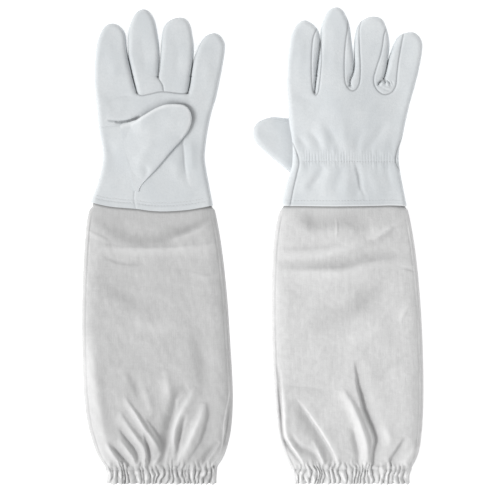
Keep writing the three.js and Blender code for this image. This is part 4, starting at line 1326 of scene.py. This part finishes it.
class Nodes:
    """A material's node tree, with short calls for what these materials need."""

    def __init__(self, name):
        self.material = bpy.data.materials.new(name)
        self.material.use_nodes = True
        self.tree = self.material.node_tree
        self.tree.nodes.clear()
        self.shader = self.add("ShaderNodeBsdfPrincipled")
        self.add("ShaderNodeOutputMaterial", {"Surface": self.shader.outputs[0]})
        self.flat = self.add("ShaderNodeUVMap", uv_map="flat").outputs[0]

    def add(self, kind, inputs=(), **settings):
        node = self.tree.nodes.new(kind)
        for key, value in settings.items():
            setattr(node, key, value)
        self.feed(node, dict(inputs))
        return node

    def feed(self, node, inputs):
        """Links each input to an output, or gives it a value."""
        for key, value in inputs.items():
            if isinstance(value, bpy.types.NodeSocket):
                self.tree.links.new(value, node.inputs[key])
            else:
                node.inputs[key].default_value = value

    def scaled(self, x, y):
        """The flat map, in units of x and y millimetres."""
        inputs = {0: self.flat, 1: (1000 / x, 1000 / y, 1)}
        return self.add("ShaderNodeVectorMath", inputs, operation="MULTIPLY").outputs[0]

    def noise(self, x, y=None, detail=3.0):
        inputs = {"Vector": self.scaled(x, y or x), "Scale": 1, "Detail": detail}
        return self.add("ShaderNodeTexNoise", inputs).outputs["Fac"]

    def cells(self, size):
        inputs = {"Vector": self.scaled(size, size), "Scale": 1}
        return self.add("ShaderNodeTexVoronoi", inputs).outputs["Distance"]

    def ribs(self, size, direction):
        inputs = {"Vector": self.scaled(size, size), "Scale": 0.314, "Distortion": 0.6, "Detail": 1}
        node = self.add("ShaderNodeTexWave", inputs, wave_type="BANDS", bands_direction=direction)
        return node.outputs["Fac"]

    def painted_light(self):
        return self.add("ShaderNodeAttribute", attribute_name="painted_light").outputs["Fac"]

    def sum(self, *weighted):
        """The weighted sum of several outputs."""
        total = 0
        for output, weight in weighted:
            inputs = {0: output, 1: weight, 2: total}
            total = self.add("ShaderNodeMath", inputs, operation="MULTIPLY_ADD").outputs[0]
        return total

    def mix(self, factor, *colours):
        """The first colour where the factor is 0, and the second where it is 1."""
        one, other = ((*c, 1) if isinstance(c, tuple) else c for c in colours)
        inputs = {"Factor": factor, "A": one, "B": other}
        return self.add("ShaderNodeMix", inputs, data_type="RGBA").outputs["Result"]

    def spread(self, output, low, high):
        """The output stretched so that low becomes 0 and high becomes 1."""
        inputs = {"Value": output, "From Min": low, "From Max": high}
        return self.add("ShaderNodeMapRange", inputs).outputs["Result"]

    def finish(self, colour, roughness, height, distance, constants):
        bump = self.add("ShaderNodeBump", {"Height": height, "Strength": 1, "Distance": distance})
        inputs = {"Base Color": colour, "Roughness": roughness, "Normal": bump.outputs[0]}
        self.feed(self.shader, inputs | constants)
        return self.material


def leather_material(side):
    n = Nodes(f"goatskin_{side}")
    dark, light, mottle, painted_crease_shade, painted_edge_highlight = (
        tuple(HIDE_PAINTED_LIGHT[side] * part for part in colour) for colour in LEATHER_COLOURS
    )
    tone = n.mix(n.spread(n.noise(34), 0.36, 0.64), dark, light)
    tone = n.mix(n.spread(n.noise(2.6, detail=4.0), 0.42, 1.1), tone, mottle)
    # painted highlight on edges, then painted shade in seams, creases and shadows
    tone = n.mix(n.spread(n.painted_light(), 0, -1.1), tone, painted_edge_highlight)
    tone = n.mix(n.spread(n.painted_light(), 0.3, 1.9), tone, painted_crease_shade)
    rough = n.spread(n.noise(9), -1.2, 1.5)
    grain = n.sum((n.cells(1.15), 0.6), (n.noise(0.5, detail=2.0), 0.5), (n.noise(3.4), 0.7))
    finish = {"Specular IOR Level": 0.3, "Sheen Weight": 0.06, "Sheen Roughness": 0.5}
    return n.finish(tone, rough, grain, 0.00012, finish)


def canvas_material(panel):
    dark, light, painted_fold_shade, painted_crest_highlight = ((grey,) * 3 for grey in CANVAS_GREYS[panel])
    n = Nodes(f"canvas_{panel}")
    threads = n.sum(
        (n.noise(0.9, 16, detail=2.0), 0.3), (n.noise(1.2), 0.25),
        (n.noise(14, 1.0), 0.15), (n.noise(7), 0.3),
    )
    tone = n.mix(n.spread(threads, 0.38, 0.62), dark, light)
    # painted shade in crevices and under the hem, then painted highlight on crests
    tone = n.mix(n.spread(n.painted_light(), 0, CANVAS_MOST_SHADE), tone, painted_fold_shade)
    tone = n.mix(n.spread(n.painted_light(), 0, -1.2), tone, painted_crest_highlight)
    weave = n.sum(
        (n.ribs(0.9, "X"), 0.5), (n.ribs(0.9, "Y"), 0.3), (n.noise(0.9, 16), 0.6), (n.noise(2.2), 0.9),
    )
    finish = {"Specular IOR Level": 0.18, "Sheen Weight": 0.08, "Sheen Roughness": 0.6}
    return n.finish(tone, 0.88, weave, 0.00024, finish)


def elastic_material():
    n = Nodes("elastic")
    ribs = n.ribs(1.2, "X")
    weave = n.sum((ribs, 1.0), (n.noise(0.6), 0.3))
    return n.finish(n.mix(ribs, *ELASTIC_COLOURS), 0.8, weave, 0.0003, {"Sheen Weight": 0.1})


def thread_material():
    n = Nodes("thread")
    place = n.add("ShaderNodeTexCoord").outputs["Object"]
    twist = n.add("ShaderNodeTexNoise", {"Vector": place, "Scale": 1800}).outputs["Fac"]
    return n.finish(n.mix(twist, *THREAD_COLOURS), 0.55, twist, 0.0002, {"Sheen Weight": 0.1})


# ---- the room ------------------------------------------------------------------------------------

def add_camera():
    data = bpy.data.cameras.new("camera")
    data.lens = data.sensor_width * CAMERA["height"] / CAMERA["width"]
    data.clip_end = 20
    camera = bpy.data.objects.new("camera", data)
    camera.location = (CAMERA["x"], CAMERA["y"], CAMERA["height"] + SEAM_Z / 1000)
    bpy.context.scene.collection.objects.link(camera)
    bpy.context.scene.camera = camera


def add_floor():
    n = Nodes("floor")
    glow = {"Emission Color": (1, 1, 1, 1), "Emission Strength": FLOOR["glow"]}
    n.finish(n.mix(n.noise(60), *FLOOR_COLOURS), 0.9, n.noise(5), 0.00001, glow)
    corners = np.array([(-1, -1), (1, -1), (1, 1), (-1, 1)]) * FLOOR["half"]
    points = np.column_stack([corners, np.full(4, -FLOOR["drop"])])
    add_object("floor", points, [[0, 1, 2, 3]], n.material, flat=corners)


def add_key_light():
    """A square area light that looks at the middle of the gloves."""
    data = bpy.data.lights.new("key", "AREA")
    data.shape = "SQUARE"
    data.size = KEY_LIGHT["size"]
    data.energy = KEY_LIGHT["power"]
    light = bpy.data.objects.new("key", data)
    way = Vector(KEY_LIGHT["direction"]).normalized()
    light.location = way * KEY_LIGHT["distance"]
    light.rotation_euler = (-way).to_track_quat("-Z", "Y").to_euler()
    bpy.context.scene.collection.objects.link(light)


def add_world_light():
    world = bpy.data.worlds.new("world")
    world.use_nodes = True
    tree = world.node_tree
    way = tree.nodes.new("ShaderNodeTexCoord")
    split = tree.nodes.new("ShaderNodeSeparateXYZ")
    fade = tree.nodes.new("ShaderNodeMapRange")
    fade.inputs["To Min"].default_value, fade.inputs["To Max"].default_value = WORLD_LIGHT
    tree.links.new(way.outputs["Generated"], split.inputs[0])
    tree.links.new(split.outputs["Z"], fade.inputs["Value"])
    tree.links.new(fade.outputs["Result"], tree.nodes["Background"].inputs["Strength"])
    tree.nodes["Background"].inputs["Color"].default_value = (1, 1, 1, 1)
    bpy.context.scene.world = world
    bpy.context.scene.view_settings.view_transform = "Standard"  # so that a white floor is white


add_camera()
add_world_light()
add_key_light()
add_floor()
materials = {
    "leather_left": leather_material("left"),
    "leather_right": leather_material("right"),
    "canvas_palm": canvas_material("palm"),
    "canvas_back": canvas_material("back"),
    "elastic": elastic_material(),
    "thread": thread_material(),
}
for side in GLOVES:
    glove = Glove(side)
    add_leather(glove, materials)
    sleeve = add_sleeve(glove, materials)
    add_threads(glove, sleeve, materials)
    add_wrist_elastic(glove, materials["elastic"])
